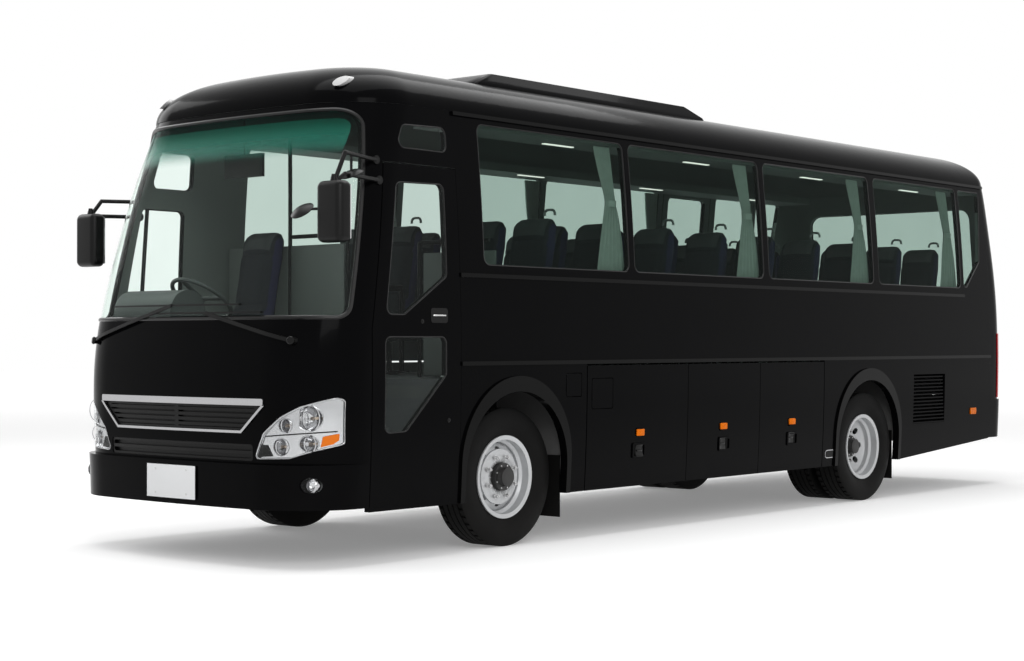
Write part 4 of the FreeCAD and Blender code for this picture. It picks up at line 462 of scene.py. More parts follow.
# Shapes
def block(low, high, rounding=0.0, steps=2):
    """A box between two corners, its edges rounded."""
    low = Vector(low)
    high = Vector(high)
    clear()
    bpy.ops.mesh.primitive_cube_add(size=1.0, location=(low + high) / 2)
    obj = bpy.context.object
    obj.scale = high - low
    settle(obj)
    if rounding:
        modify(obj, "BEVEL", width=rounding, segments=steps)
    return smooth(obj)


def scaled(shares, across, up):
    """An outline of shares, brought to size."""
    return [(first * across, second * up) for first, second in shares]


def outlined(places, fill="NOTHING"):
    """A closed line, or a filled face, through these places."""
    clear()
    bpy.ops.mesh.primitive_circle_add(vertices=len(places), radius=1.0, fill_type=fill)
    obj = bpy.context.object
    for vertex, place in zip(obj.data.vertices, places):
        vertex.co = place
    return obj


def turned(profile, foot, axis, steps=TURN_STEPS):
    """A closed outline of radius and height spun about an axis."""
    obj = outlined([(radius, 0.0, along) for radius, along in profile])
    edit(obj)
    bpy.ops.mesh.spin(steps=steps, angle=math.tau, center=(0.0, 0.0, 0.0), axis=(0.0, 0.0, 1.0))
    close()
    tidy_mesh(obj)
    obj.rotation_euler = Vector(axis).to_track_quat("Z", "Y").to_euler()
    obj.location = Vector(foot)
    settle(obj)
    return smooth(obj)


def drawn(points, place, way):
    """A plate: an outline put in its place and drawn out by a vector."""
    obj = outlined([place(*point) for point in points], "NGON")
    edit(obj)
    bpy.ops.mesh.extrude_region_move(TRANSFORM_OT_translate={"value": tuple(way)})
    bpy.ops.mesh.select_all(action="SELECT")
    bpy.ops.mesh.normals_make_consistent(inside=False)
    close()
    return obj


def rod(start, end, radius, sides=BAR_SIDES, rounding=0.0):
    """A round bar between two points."""
    start = Vector(start)
    end = Vector(end)
    run = end - start
    turn = run.to_track_quat("Z", "Y").to_euler()
    clear()
    bpy.ops.mesh.primitive_cylinder_add(vertices=sides, radius=radius, depth=run.length,
                                        location=(start + end) / 2, rotation=turn)
    obj = settle(bpy.context.object)
    if rounding:
        modify(obj, "BEVEL", width=rounding, segments=2, limit_method="ANGLE")
    return smooth(obj)


def tube(points, radius):
    """A bent tube along a smooth line near these points."""
    line = bpy.data.curves.new("tube", "CURVE")
    line.dimensions = "3D"
    line.bevel_depth = radius
    line.bevel_resolution = TUBE_ROUND
    line.use_fill_caps = True
    spline = line.splines.new("NURBS")
    spline.points.add(len(points) - 1)
    for point, place in zip(spline.points, points):
        point.co = (*place, 1.0)
    spline.order_u = TUBE_ROUND
    spline.use_endpoint_u = True
    obj = bpy.data.objects.new("tube", line)
    bpy.context.scene.collection.objects.link(obj)
    pick(obj)
    bpy.ops.object.convert(target="MESH")
    return smooth(active())


def rounded(points, radius):
    """An outline with its corners rounded."""
    out = []
    count = len(points)
    for index in range(count):
        here = Vector(points[index])
        before = Vector(points[index - 1]) - here
        after = Vector(points[(index + 1) % count]) - here
        turn = before.angle(after)
        reach = min(radius / math.tan(turn / 2), before.length / CORNER_LIMIT, after.length / CORNER_LIMIT)
        start = here + before.normalized() * reach
        end = here + after.normalized() * reach
        for step in range(CORNER_STEPS + 1):
            share = step / CORNER_STEPS
            out.append(tuple(start * (1 - share) ** 2 + here * 2 * share * (1 - share) + end * share ** 2))
    return out


def merged(node):
    """A copy of a solid with its doubles merged and its own normals dropped."""
    obj = bpy.data.objects.new(node, NODES[node].data.copy())
    bpy.context.scene.collection.objects.link(obj)
    edit(obj)
    bpy.ops.mesh.customdata_custom_splitnormals_clear()
    bpy.ops.mesh.remove_doubles(threshold=MERGE_GAP)
    close()
    return obj


def stands_for(obj, node, slot, *materials):
    """Finishes a piece that replaces one solid and rides with it."""
    body = NODES[node]["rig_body"]
    piece(obj, "%s_finish" % node, body, slot, *materials)
    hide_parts(node)
    return obj


def islands(obj):
    """The separate shells of a mesh, as lists of face numbers with their boxes."""
    mesh = obj.data
    root = list(range(len(mesh.vertices)))

    def top(number):
        while root[number] != number:
            root[number] = root[root[number]]
            number = root[number]
        return number

    for edge in mesh.edges:
        first, second = edge.vertices
        root[top(first)] = top(second)
    groups = {}
    for face in mesh.polygons:
        groups.setdefault(top(face.vertices[0]), []).append(face.index)
    found = []
    for faces in groups.values():
        places = [mesh.vertices[v].co for f in faces for v in mesh.polygons[f].vertices]
        low, high = (Vector(tuple(map(end, zip(*places)))) for end in (min, max))
        found.append((faces, low, high))
    return found


def paint_islands(obj, choose):
    """Gives each separate shell the material number that its box asks for."""
    for faces, low, high in islands(obj):
        index = choose(low, high)
        for face in faces:
            obj.data.polygons[face].material_index = index


# Shared shader groups
def new_group(name, inputs, outputs):
    """An empty shader group: inputs with their usual values, outputs with their kinds."""
    group = bpy.data.node_groups.new(name, "ShaderNodeTree")
    for label, value in inputs.items():
        kind = "NodeSocketColor" if isinstance(value, tuple) else "NodeSocketFloat"
        group.interface.new_socket(name=label, in_out="INPUT", socket_type=kind).default_value = value
    for label, kind in outputs.items():
        group.interface.new_socket(name=label, in_out="OUTPUT", socket_type="NodeSocket" + kind)
    return group, group.nodes.new("NodeGroupInput"), group.nodes.new("NodeGroupOutput")


def node(tree, kind, **values):
    """A shader node with its plain settings."""
    made = tree.nodes.new("ShaderNode" + kind)
    for name, value in values.items():
        setattr(made, name, value)
    return made


def link(tree, source, target):
    """Joins two sockets."""
    tree.links.new(source, target)


def put(made, values):
    """Sets the plain inputs of a node."""
    for label, value in values.items():
        made.inputs[label].default_value = value
    return made


def math_node(tree, operation, first, second):
    """A math node fed by sockets or numbers."""
    made = node(tree, "Math", operation=operation)
    for socket, value in zip(made.inputs, (first, second)):
        if isinstance(value, (int, float)):
            socket.default_value = value
        else:
            link(tree, value, socket)
    return made.outputs[0]


def noise(tree, place, detail, scale=None):
    """A noise texture on an object's own axes."""
    made = put(node(tree, "TexNoise"), {"Detail": detail})
    if scale:
        made.inputs["Scale"].default_value = scale
    link(tree, place.outputs["Object"], made.inputs["Vector"])
    return made


def mixed(tree, first, second, share=1.0, **values):
    """Two colours mixed by a share, each a socket or a value."""
    made = node(tree, "Mix", data_type="RGBA", **values)
    for number, value in ((0, share), (MIX_FIRST, first), (MIX_SECOND, second)):
        if isinstance(value, (float, tuple)):
            made.inputs[number].default_value = value
        else:
            link(tree, value, made.inputs[number])
    return made.outputs[MIX_RESULT]


def height_fade(tree, low, high):
    """A smooth fade between two heights of an object."""
    place = node(tree, "TexCoord")
    parts = node(tree, "SeparateXYZ")
    fade = put(node(tree, "MapRange", interpolation_type="SMOOTHSTEP"), {"From Min": low, "From Max": high})
    link(tree, place.outputs["Object"], parts.inputs[0])
    link(tree, parts.outputs["Z"], fade.inputs["Value"])
    return fade


def seen_by(tree, first, *others):
    """One for the kinds of ray that are named, zero for the rest."""
    path = node(tree, "LightPath")
    seen = path.outputs[first]
    for other in others:
        seen = math_node(tree, "MAXIMUM", seen, path.outputs[other])
    return seen


def surface_group():
    """Colour that drifts a little, a fine grain, and roughness that drifts with the colour."""
    group, enter, leave = new_group(
        "surface drift",
        {"Color": MID_GREY, "Spread": SPREAD, "Patch Scale": PATCH_SCALE, "Grain Scale": GRAIN_SCALE,
         "Roughness": PLAIN_ROUGHNESS},
        {"Color": "Color", "Roughness": "Float", "Height": "Float"})
    place = node(group, "TexCoord")
    patch = noise(group, place, PATCH_DETAIL)
    grain = noise(group, place, GRAIN_DETAIL)
    link(group, enter.outputs["Patch Scale"], patch.inputs["Scale"])
    link(group, enter.outputs["Grain Scale"], grain.inputs["Scale"])
    swing = math_node(group, "SUBTRACT", patch.outputs[0], 0.5)
    swing = math_node(group, "MULTIPLY", swing, enter.outputs["Spread"])
    swing = math_node(group, "MULTIPLY_ADD", swing, 2.0)
    swing.node.inputs[2].default_value = 1.0
    tone = mixed(group, enter.outputs["Color"], swing, blend_type="MULTIPLY")
    link(group, tone, leave.inputs["Color"])
    link(group, math_node(group, "MULTIPLY", enter.outputs["Roughness"], swing), leave.inputs["Roughness"])
    link(group, grain.outputs[0], leave.inputs["Height"])
    return group


def dust_group():
    """Road dust that gathers towards the ground, broken up by noise."""
    group, enter, leave = new_group(
        "road dust",
        {"Color": MID_GREY, "Dust Color": DUST_TONE, "Top": DUST_TOP, "Amount": DUST_AMOUNT},
        {"Color": "Color"})
    place = node(group, "TexCoord")
    parts = node(group, "SeparateXYZ")
    cloud = noise(group, place, DUST_DETAIL, DUST_SCALE)
    link(group, place.outputs["Object"], parts.inputs[0])
    fade = put(node(group, "MapRange"), {"From Max": 0.0})
    link(group, parts.outputs["Z"], fade.inputs["Value"])
    link(group, enter.outputs["Top"], fade.inputs["From Min"])
    share = math_node(group, "MULTIPLY", fade.outputs[0], cloud.outputs[0])
    share = math_node(group, "MULTIPLY", share, enter.outputs["Amount"])
    dusted = mixed(group, enter.outputs["Color"], enter.outputs["Dust Color"], share)
    link(group, dusted, leave.inputs["Color"])
    return group


SURFACE = surface_group()
DUST = dust_group()


# Materials
def new_material(name, color):
    """A material with its shader tree, its shader and its own drift of colour."""
    made = bpy.data.materials.new(name)
    made.use_nodes = True
    tree = made.node_tree
    drift = put(node(tree, "Group", node_tree=SURFACE), {"Color": (*color, 1.0)})
    return made, tree, tree.nodes["Principled BSDF"], drift


def finish(name, color, roughness, metallic=0.0, spread=SPREAD, patch=PATCH_SCALE, grain=GRAIN_SCALE,
           bump=BUMP, dust=0.0, **sockets):
    """A finish whose colour and gloss drift a little over a fine grain."""
    made, tree, shader, drift = new_material(name, color)
    put(drift, {"Spread": spread, "Patch Scale": patch, "Grain Scale": grain, "Roughness": roughness})
    tone = drift.outputs["Color"]
    if dust:
        settled = put(node(tree, "Group", node_tree=DUST), {"Amount": dust})
        link(tree, tone, settled.inputs["Color"])
        tone = settled.outputs["Color"]
    link(tree, tone, shader.inputs["Base Color"])
    link(tree, drift.outputs["Roughness"], shader.inputs["Roughness"])
    shader.inputs["Metallic"].default_value = metallic
    if bump:
        raised = put(node(tree, "Bump"), {"Strength": bump, "Distance": BUMP_DEPTH})
        link(tree, drift.outputs["Height"], raised.inputs["Height"])
        link(tree, raised.outputs[0], shader.inputs["Normal"])
    put(shader, {label.replace("_", " ").title().replace("Ior", "IOR"): sockets[label] for label in sockets})
    return made


def glass(name, tint, banded=False):
    """Clear sheet that lets the lamps through, its tint in its thickness, with a faint glow of its own tint
    as a painted reflection.
    """
    made, tree, shader, drift = new_material(name, tint)
    # The emission is a painted reflection: a faint glow of the glass's own tint
    put(shader, {"Transmission Weight": 1.0, "Roughness": 0.0, "IOR": GLASS_IOR,
                 "Emission Color": (*tint, 1.0), "Emission Strength": GLASS_PAINTED_GLOW})
    put(drift, {"Spread": GLASS_DRIFT})
    tone = drift.outputs["Color"]
    if banded:
        tone = mixed(tree, tone, SCREEN_BAND_TINT, height_fade(tree, *SCREEN_BAND).outputs[0])
    link(tree, tone, shader.inputs["Base Color"])
    clear_way = put(node(tree, "BsdfTransparent"), {"Color": (*tint, 1.0)})
    mix = node(tree, "MixShader")
    link(tree, seen_by(tree, "Is Shadow Ray", "Is Diffuse Ray"), mix.inputs[0])
    link(tree, shader.outputs[0], mix.inputs[1])
    link(tree, clear_way.outputs[0], mix.inputs[2])
    link(tree, mix.outputs[0], tree.nodes["Material Output"].inputs["Surface"])
    return made


PAINT = finish("gloss black paint", (0.0015, 0.0015, 0.0018), 0.15, spread=0.25, grain=160.0, bump=0.01,
               dust=0.01, specular_ior_level=0.02, coat_weight=0.09, coat_roughness=0.03, coat_ior=1.2)
TRIM = finish("gloss black trim", (0.002, 0.002, 0.002), 0.12, bump=0.02, specular_ior_level=0.08)
LINING = finish("grey lining vinyl", (0.16, 0.17, 0.165), 0.7, grain=700.0, bump=0.15)
CHASSIS = finish("chassis black", (0.01, 0.01, 0.011), 0.55, spread=0.3, patch=8.0, bump=0.15, dust=0.2,
                 specular_ior_level=0.25)
STEEL = finish("bright steel", (0.62, 0.62, 0.62), 0.28, metallic=1.0, spread=0.08, grain=500.0,
               bump=0.03)
CHROME = finish("bright chrome", (0.46, 0.46, 0.47), 0.16, metallic=1.0, spread=0.05, bump=0.01)
RUBBER = finish("black rubber", (0.0025, 0.0025, 0.0025), 0.7, spread=0.3, grain=900.0, bump=0.2,
                dust=0.03, specular_ior_level=0.12)
CAST = finish("painted casting", (0.03, 0.03, 0.032), 0.6, spread=0.4, patch=14.0, grain=260.0, bump=0.4,
              dust=0.4)
SHEET = finish("grey sheet steel", (0.1, 0.1, 0.1), 0.55, spread=0.3, patch=6.0, bump=0.1, dust=0.3)
FLOORING = finish("speckled floor vinyl", (0.09, 0.09, 0.095), 0.6, spread=0.5, patch=90.0, grain=900.0,
                  bump=0.1)
DASH = finish("grained dash moulding", (0.045, 0.05, 0.05), 0.6, grain=1100.0, bump=0.3)
PLASTIC = finish("black plastic", (0.004, 0.004, 0.004), 0.35, grain=700.0, specular_ior_level=0.15)
SIDE_GLASS = glass("tinted side glass", (0.55, 0.64, 0.60))
SCREEN_GLASS = glass("banded screen glass", (0.9, 0.96, 0.93), banded=True)
CLEAR_GLASS = glass("clear glass", (0.9, 0.95, 0.93))
LENS = glass("clear lens", (0.97, 0.98, 0.98))
REFLECTOR = finish("lamp reflector", (0.5, 0.5, 0.51), 0.1, metallic=1.0, grain=90.0, bump=0.25)
RIBBED = {"grain": 260.0, "bump": 0.1, "specular_ior_level": 0.1}
AMBER = finish("amber lens", (0.8, 0.17, 0.002), 0.25, **RIBBED)
RED = finish("red lens", (0.45, 0.008, 0.01), 0.25, **RIBBED)
WHITE_LENS = finish("white lens", (0.4, 0.4, 0.4), 0.2, grain=260.0, bump=0.3)
MIRROR = finish("mirror glass", (0.85, 0.86, 0.86), 0.03, metallic=1.0, spread=0.02, bump=0.0)
HUB_PAINT = finish("dark hub casting", (0.012, 0.012, 0.012), 0.5, spread=0.3, patch=20.0, bump=0.1,
                   dust=0.1)
BAND = finish("teal sun band", (0.0, 0.2, 0.15), 0.4, spread=0.02, bump=0.0)
WHEEL_PAINT = finish("silver wheel paint", (0.56, 0.57, 0.58), 0.35, metallic=0.35, bump=0.03, dust=0.12)
SEAL = finish("rubber seal", (0.003, 0.003, 0.003), 0.3, spread=0.2, grain=500.0, bump=0.02,
              specular_ior_level=0.3)
BULB = finish("lamp bulb", (0.75, 0.62, 0.5), 0.12, grain=300.0, bump=0.02)
PLATE_PAINT = finish("plate white", (0.78, 0.79, 0.8), 0.35, spread=0.02, bump=0.02)
WEAVE = {"patch": 60.0, "grain": 1500.0, "bump": 0.1, "specular_ior_level": 0.2}
CLOTH = finish("seat cloth", (0.018, 0.019, 0.024), 0.9, spread=0.3, **WEAVE)
HEADREST = finish("headrest cloth", (0.055, 0.057, 0.06), 0.85, spread=0.2, **WEAVE)
BOLSTER = finish("bolster cloth", (0.022, 0.02, 0.055), 0.85, spread=0.2, **WEAVE)
LOOP = finish("loop moulding", (0.2, 0.2, 0.2), 0.5)
CURTAIN = finish("curtain cloth", (0.5, 0.52, 0.5), 0.85, spread=0.15, patch=20.0, grain=1400.0, bump=0.1)
TIE_CLOTH = finish("curtain tie cloth", (0.5, 0.52, 0.5), 0.8, grain=1400.0, bump=0.3)
LIT = finish("lit cabin lamp", (0.8, 0.8, 0.78), 0.4, bump=0.0, emission_color=(1.0, 0.97, 0.9, 1.0),
             emission_strength=1.2)

# The slot and the finish of each solid, and of many small pieces
DARK = ("black_plastic", PLASTIC)
BRIGHT = ("chrome", STEEL)
OWN_PIECES = ("seats", "curtains")
NODE_FINISH = {
    "body_glass": ("glass", SIDE_GLASS, CLEAR_GLASS), "windscreen": ("glass", SCREEN_GLASS),
    "entrance_door_glass": ("glass", CLEAR_GLASS), "emergency_door_glass": ("glass", SIDE_GLASS),
    "headlamp_lenses": ("lamp_glass", LENS), "headlamp_housings": ("lamp_inner", REFLECTOR),
    "body_lamps": ("lamp_colour", AMBER, RED, WHITE_LENS), "grille_trim": ("chrome", CHROME),
    "mouldings": ("trim", TRIM), "mud_flaps": ("rubber", RUBBER),
    "underfloor_panels": ("galvanised", SHEET), "step_well": ("galvanised", FLOORING),
    "door_arm": ("galvanised", PLASTIC), "luggage_racks": ("galvanised", LINING),
    "chassis_frame": ("chassis_paint", CHASSIS), "seats": ("seat_fabric", CLOTH),
    "dashboard": ("dash_plastic", DASH), "floor": ("floor_vinyl", FLOORING),
}
DARK_NODES = ("grille", "wipers", "outside_mirrors", "interior_mirror")
CAST_NODES = ("front_axle_beam", "rear_axle_housing", "knuckle_left", "knuckle_right", "engine_block")
NODE_FINISH.update({name: DARK for name in DARK_NODES})
NODE_FINISH.update({name: ("cast_iron", CAST) for name in CAST_NODES})


def slot_of(name):
    """The record's slot and the finishes of one solid."""
    if "tyre" in name:
        return "tyre", RUBBER
    if "rim" in name and "trim" not in name:
        return "wheel_paint", WHEEL_PAINT, HUB_PAINT
    return NODE_FINISH.get(name, ("body_paint", PAINT, LINING))


def dress_solids():
    """Smooth copies of the solids that keep their form, each with its own finish."""
    for name in sorted(NODES):
        if "tyre" in name or name in OWN_PIECES:
            continue
        slot, *materials = slot_of(name)
        obj = stands_for(smooth(merged(name)), name, slot, *materials)
        if materials[0] == PAINT:
            paint_faces(obj, faces_cabin)
        if materials[0] == WHEEL_PAINT:
            paint_hub(obj)
        if name == "body_glass":
            paint_islands(obj, lambda low, high: int(high.y < CAB_GLASS_Y))
        if name == "body_lamps":
            paint_islands(obj, lamp_colour)


def paint_hub(obj):
    """Dark hub faces in the middle of a wheel."""
    ys, zs = ([vertex.co[axis] for vertex in obj.data.vertices] for axis in (1, 2))
    y, z = (min(ys) + max(ys)) / 2, (min(zs) + max(zs)) / 2
    paint_faces(obj, lambda centre, normal: math.hypot(centre.y - y, centre.z - z) < HUB_DARK_RADIUS)


def out_from_keel(centre, rise):
    """The way out to a face from the coach's middle line, with its height given."""
    reach = min(max(centre.y, -KEEL_HALF), KEEL_HALF)
    return Vector((centre.x, centre.y - reach, rise)).normalized()


def faces_cabin(centre, normal):
    """True for a face above the floor that looks at the middle of the cabin."""
    way = out_from_keel(centre, centre.z - CABIN_MIDDLE_Z)
    return centre.z > CABIN_FLOOR and normal.dot(way) < -INNER_SHARE


def lamp_colour(low, high):
    """Amber for side markers, white for roof lamps, red for tail lamps."""
    if low.z > ROOF_LAMP_Z:
        return 2
    return int(high.z - low.z > TAIL_LAMP_HEIGHT)


# Places on the coach's own surfaces
def struck(node, start, way):
    """Where a ray first meets a solid, and which way its surface faces there."""
    if node not in SURFACES:
        mesh = NODES[node].data
        SURFACES[node] = BVHTree.FromPolygons([vertex.co for vertex in mesh.vertices],
                                              [face.vertices for face in mesh.polygons])
    place, facing = SURFACES[node].ray_cast(Vector(start), Vector(way))[:2]
    if place is None:
        raise ValueError("%s isn't met from %s" % (node, tuple(start)))
    return place, facing


def on_nose(node, x, z):
    """The place on a front piece at this width and height, and the way it faces."""
    return struck(node, (x, -NOSE_REACH, z), (0.0, 1.0, 0.0))


def on_flank(node, y, z, side=1):
    """The place on a side piece at this length and height, and the way it faces."""
    return struck(node, (side * NOSE_REACH, y, z), (-side, 0.0, 0.0))


def on_tail(node, x, z):
    """The place on a rear piece at this width and height, and the way it faces."""
    return struck(node, (x, NOSE_REACH, z), (0.0, -1.0, 0.0))


def laid(find, node, outline, lift, thickness, cuts=LAID_CUTS):
    """A thin plate that follows a piece's surface inside an outline of its two coordinates."""
    obj = outlined([(across, 0.0, up) for across, up in outline], "NGON")
    spans = [[point[axis] for point in outline] for axis in (0, 1)]
    for axis, values in zip(((1.0, 0.0, 0.0), (0.0, 0.0, 1.0)), spans):
        for step in range(1, cuts):
            place = min(values) + (max(values) - min(values)) * step / cuts
            edit(obj)
            bpy.ops.mesh.bisect(plane_co=Vector(axis) * place, plane_no=axis)
            close()
    for vertex in obj.data.vertices:
        place, facing = find(node, vertex.co.x, vertex.co.z)
        vertex.co = place + facing * (lift + thickness)
    edit(obj)
    bpy.ops.mesh.normals_make_consistent(inside=False)
    close()
    place, facing = find(node, sum(spans[0]) / len(outline), sum(spans[1]) / len(outline))
    if obj.data.polygons[0].normal.dot(facing) < 0:
        edit(obj)
        bpy.ops.mesh.flip_normals()
        close()
    modify(obj, "SOLIDIFY", thickness=thickness, offset=-1.0)
    return smooth(obj)


def corners(across, up, width, height, radius):
    """A rectangle's outline round its middle, its corners rounded."""
    half, tall = width / 2, height / 2
    shares = ((-1, -1), (1, -1), (1, 1), (-1, 1))
    return rounded([(across + x * half, up + y * tall) for x, y in shares], radius)


def outward(face):
    """How squarely a face of the body looks away from the middle of the coach."""
    return face.normal.dot(out_from_keel(face.center, 0.0))


def rim_lines(node, radius):
    """A round cord along the outer sharp edges of a solid's openings and ends."""
    obj = merged(node)
    mesh = obj.data
    faces_at = {}
    for face in mesh.polygons:
        for key in face.edge_keys:
            faces_at.setdefault(key, []).append(face)
    chosen = set()
    for key, faces in faces_at.items():
        if len(faces) == 2 and faces[0].normal.angle(faces[1].normal) > SEAL_ANGLE:
            if max(outward(face) for face in faces) > OUTER_SHARE:
                chosen.add(key)
    edit(obj)
    bpy.ops.mesh.select_mode(type="EDGE")
    bpy.ops.mesh.select_all(action="DESELECT")
    close()
    for edge in mesh.edges:
        edge.select = edge.key in chosen
    bpy.ops.object.mode_set(mode="EDIT")
    bpy.ops.mesh.select_all(action="INVERT")
    bpy.ops.mesh.delete(type="EDGE")
    bpy.ops.mesh.select_mode(type="VERT")
    close()
    pick(obj)
    bpy.ops.object.convert(target="CURVE")
    line = active()
    line.data.bevel_depth = radius
    line.data.bevel_resolution = 2
    bpy.ops.object.convert(target="MESH")
    return smooth(active())


# Wheels
def tyre_section(half, radius):
    """A tyre's closed outline: bead, bulged wall, shoulder and a grooved tread."""
    wall = [(share * radius, along * half) for along, share in TYRE_WALL_SHARES]
    tread = []
    for middle in GROOVE_SHARES:
        for along, depth in GROOVE_WALL_SHARES:
            tread.append((radius - depth * GROOVE_DEPTH, middle * half + along * GROOVE_WIDTH))
    right = wall + tread
    return right + [(r, -along) for r, along in reversed(right)]


def tyre(centre, half, radius):
    """A road tyre with ribs and open shoulder slots."""
    obj = turned(tyre_section(half, radius), centre, (1.0, 0.0, 0.0), TYRE_STEPS)
    edit(obj)
    bpy.ops.mesh.select_mode(type="FACE")
    bpy.ops.mesh.select_all(action="DESELECT")
    close()
    for face in obj.data.polygons:
        out = face.center - centre
        across = abs(out.x) / half
        reach = math.hypot(out.y, out.z) / radius
        step = int(math.atan2(out.z, out.y) % math.tau / math.tau * TYRE_STEPS)
        shoulder = SLOT_BAND[0] < across < SLOT_BAND[1] and reach > SLOT_REACH_SHARE
        face.select = shoulder and step % SLOT_PITCH == 0
    bpy.ops.object.mode_set(mode="EDIT")
    bpy.ops.mesh.inset(thickness=SLOT_DRAFT, depth=-GROOVE_DEPTH)
    bpy.ops.mesh.select_mode(type="VERT")
    close()
    return smooth(obj)


def ring_of(obj, count, centre):
    """Copies of a part round a wheel's axis, joined and set at the wheel's centre."""
    parts = [obj]
    for step in range(1, count):
        twin = copied(obj)
        twin.rotation_euler = (math.tau * step / count, 0.0, 0.0)
        parts.append(settle(twin))
    whole = joined(parts)
    whole.rotation_euler = (math.pi / count, 0.0, 0.0)
    whole.location = centre
    return smooth(settle(whole))


def bolt(way, circle, start, end, radius, edge, sides=HEX_SIDES):
    """A short bar along a wheel's axis, at the top of its circle, its edges rounded."""
    return rod((way * start, 0.0, circle), (way * end, 0.0, circle), radius, sides, edge)


def wheel_nut(way):
    """One nut with its washer and stud end, pointing outward."""
    washer = bolt(way, NUT_CIRCLE, 0.0, NUT_WASHER, WASHER_RADIUS, 0.0, BULB_STEPS)
    nut = bolt(way, NUT_CIRCLE, NUT_WASHER, NUT_HEIGHT, NUT_RADIUS, NUT_EDGE)
    stud = bolt(way, NUT_CIRCLE, NUT_HEIGHT, STUD_REACH, NUT_RADIUS / 2, STUD_EDGE, BOLT_SIDES)
    return joined([washer, nut, stud])


def wheel_dress(name, node, centre, way, disc_set, hub_reach):
    """Nuts, hub bolts, a hub dome and the valve of one outer wheel."""
    body = NODES[node]["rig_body"]
    face = centre + Vector((way * disc_set, 0.0, 0.0))
    hub = Vector((way * hub_reach, 0.0, 0.0))
    piece(ring_of(wheel_nut(way), WHEEL_NUTS, face), name + "_nuts", body, *BRIGHT)
    head = bolt(way, HUB_BOLT_CIRCLE, 0.0, HUB_BOLT_RADIUS, HUB_BOLT_RADIUS, HUB_BOLT_EDGE)
    piece(ring_of(head, HUB_BOLTS, face + hub / 2), name + "_hub_bolts", body, *BRIGHT)
    dome = scaled(HUB_DOME_SHARES, HUB_DOME_RADIUS, HUB_DOME_HEIGHT)
    piece(turned(dome, face + hub, (way, 0.0, 0.0)), name + "_hub_cap", body, "wheel_paint", HUB_PAINT)
    foot = face + Vector((0.0, 0.0, VALVE_CIRCLE))
    shares = scaled(VALVE_SHARES, way * VALVE_LENGTH, VALVE_LENGTH)
    bends = [foot + Vector((out, 0.0, up)) for out, up in shares]
    piece(tube(bends, VALVE_RADIUS), name + "_valve", body, *BRIGHT)


def wheels():
    """All six tyres, and the dress of the four outer wheels."""
    for way, label in SIDES:
        low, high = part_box("front_tyre_" + label)
        centre = (low + high) / 2
        half = (high.x - low.x) / 2
        radius = (high.z - low.z) / 2
        stands_for(tyre(centre, half, radius), "front_tyre_" + label, "tyre", RUBBER)
        wheel_dress("front_wheel_" + label, "front_rim_" + label, centre, way,
                    FRONT_DISC_SET, FRONT_HUB_REACH)
        low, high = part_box("rear_tyres_" + label)
        xs = (max(abs(low.x), abs(high.x)) - half, min(abs(low.x), abs(high.x)) + half)
        middle = (low + high) / 2
        places = [Vector((way * x, middle.y, middle.z)) for x in xs]
        pair = joined([tyre(place, half, radius) for place in places])
        stands_for(pair, "rear_tyres_" + label, "tyre", RUBBER)
        wheel_dress("rear_wheel_" + label, "rear_rims_" + label, places[0], way,
                    REAR_DISC_SET, REAR_HUB_REACH)


# Lamps at the front
def lamp_details():
    """Bulbs, bright rings, the bar between the tiers, the amber wedge and the dark foot of both headlamps."""
    rings = rim_lines("headlamp_housings", LAMP_RING_RADIUS)
    piece(rings, "headlamp_rings", "body", "lamp_inner", CHROME)
    for side, label in SIDES:
        bulbs = []
        rims = []
        for x, z, radius in LAMP_BOWLS:
            place = on_nose("headlamp_lenses", side * x, z)[0]
            ring = [(radius + out, along) for out, along in scaled(BOWL_RING_SHARES, BOWL_RING, BOWL_RING)]
            foot = place + Vector((0.0, BOWL_RING_SET, 0.0))
            rims.append(turned(ring, foot, (0.0, 1.0, 0.0), FINE_STEPS))
            profile = scaled(BULB_SHARES, BULB_RADIUS, BULB_RADIUS)
            tip = place + Vector((0.0, LAMP_BULB_SET, 0.0))
            bulbs.append(turned(profile, tip, (0.0, 1.0, 0.0), BULB_STEPS))
        piece(joined(bulbs), "headlamp_bulbs_" + label, "body", "lamp_inner", BULB)
        piece(joined(rims), "headlamp_bezels_" + label, "body", "lamp_inner", CHROME)
        low, high = LAMP_BAR_XS
        line = []
        for step in range(LAMP_BAR_POINTS):
            share = step / (LAMP_BAR_POINTS - 1)
            x = side * (low + (high - low) * share)
            place, facing = on_nose("headlamp_lenses", x, LAMP_BAR_Z + LAMP_BAR_RISE * share)
            line.append(place - facing * LAMP_BAR_SET)
        piece(tube(line, LAMP_BAR_RADIUS), "headlamp_bar_" + label, "body", *DARK)
        for part, outline, slot, paint in (("amber", LAMP_AMBER, "lamp_colour", AMBER),
                                           ("foot", LAMP_FOOT, *DARK)):
            made = laid(on_nose, "headlamp_lenses", scaled(outline, side, 1), -LAMP_PLATE_SET, LAMP_PLATE)
            piece(made, "headlamp_%s_%s" % (part, label), "body", slot, paint)


def fog_details():
    """A bright ring and a bowl for each fog lamp."""
    for side, label in SIDES:
        place = on_nose("headlamp_lenses", side * FOG_X, FOG_Z)[0]
        for part, shares, paint in (("ring", FOG_RING_SHARES, CHROME), ("bowl", FOG_BOWL_SHARES, REFLECTOR)):
            made = turned(scaled(shares, FOG_RADIUS, FOG_RING), place, (0.0, -1.0, 0.0), FOG_STEPS)
            piece(made, "fog_lamp_%s_%s" % (part, label), "body", "lamp_inner", paint)


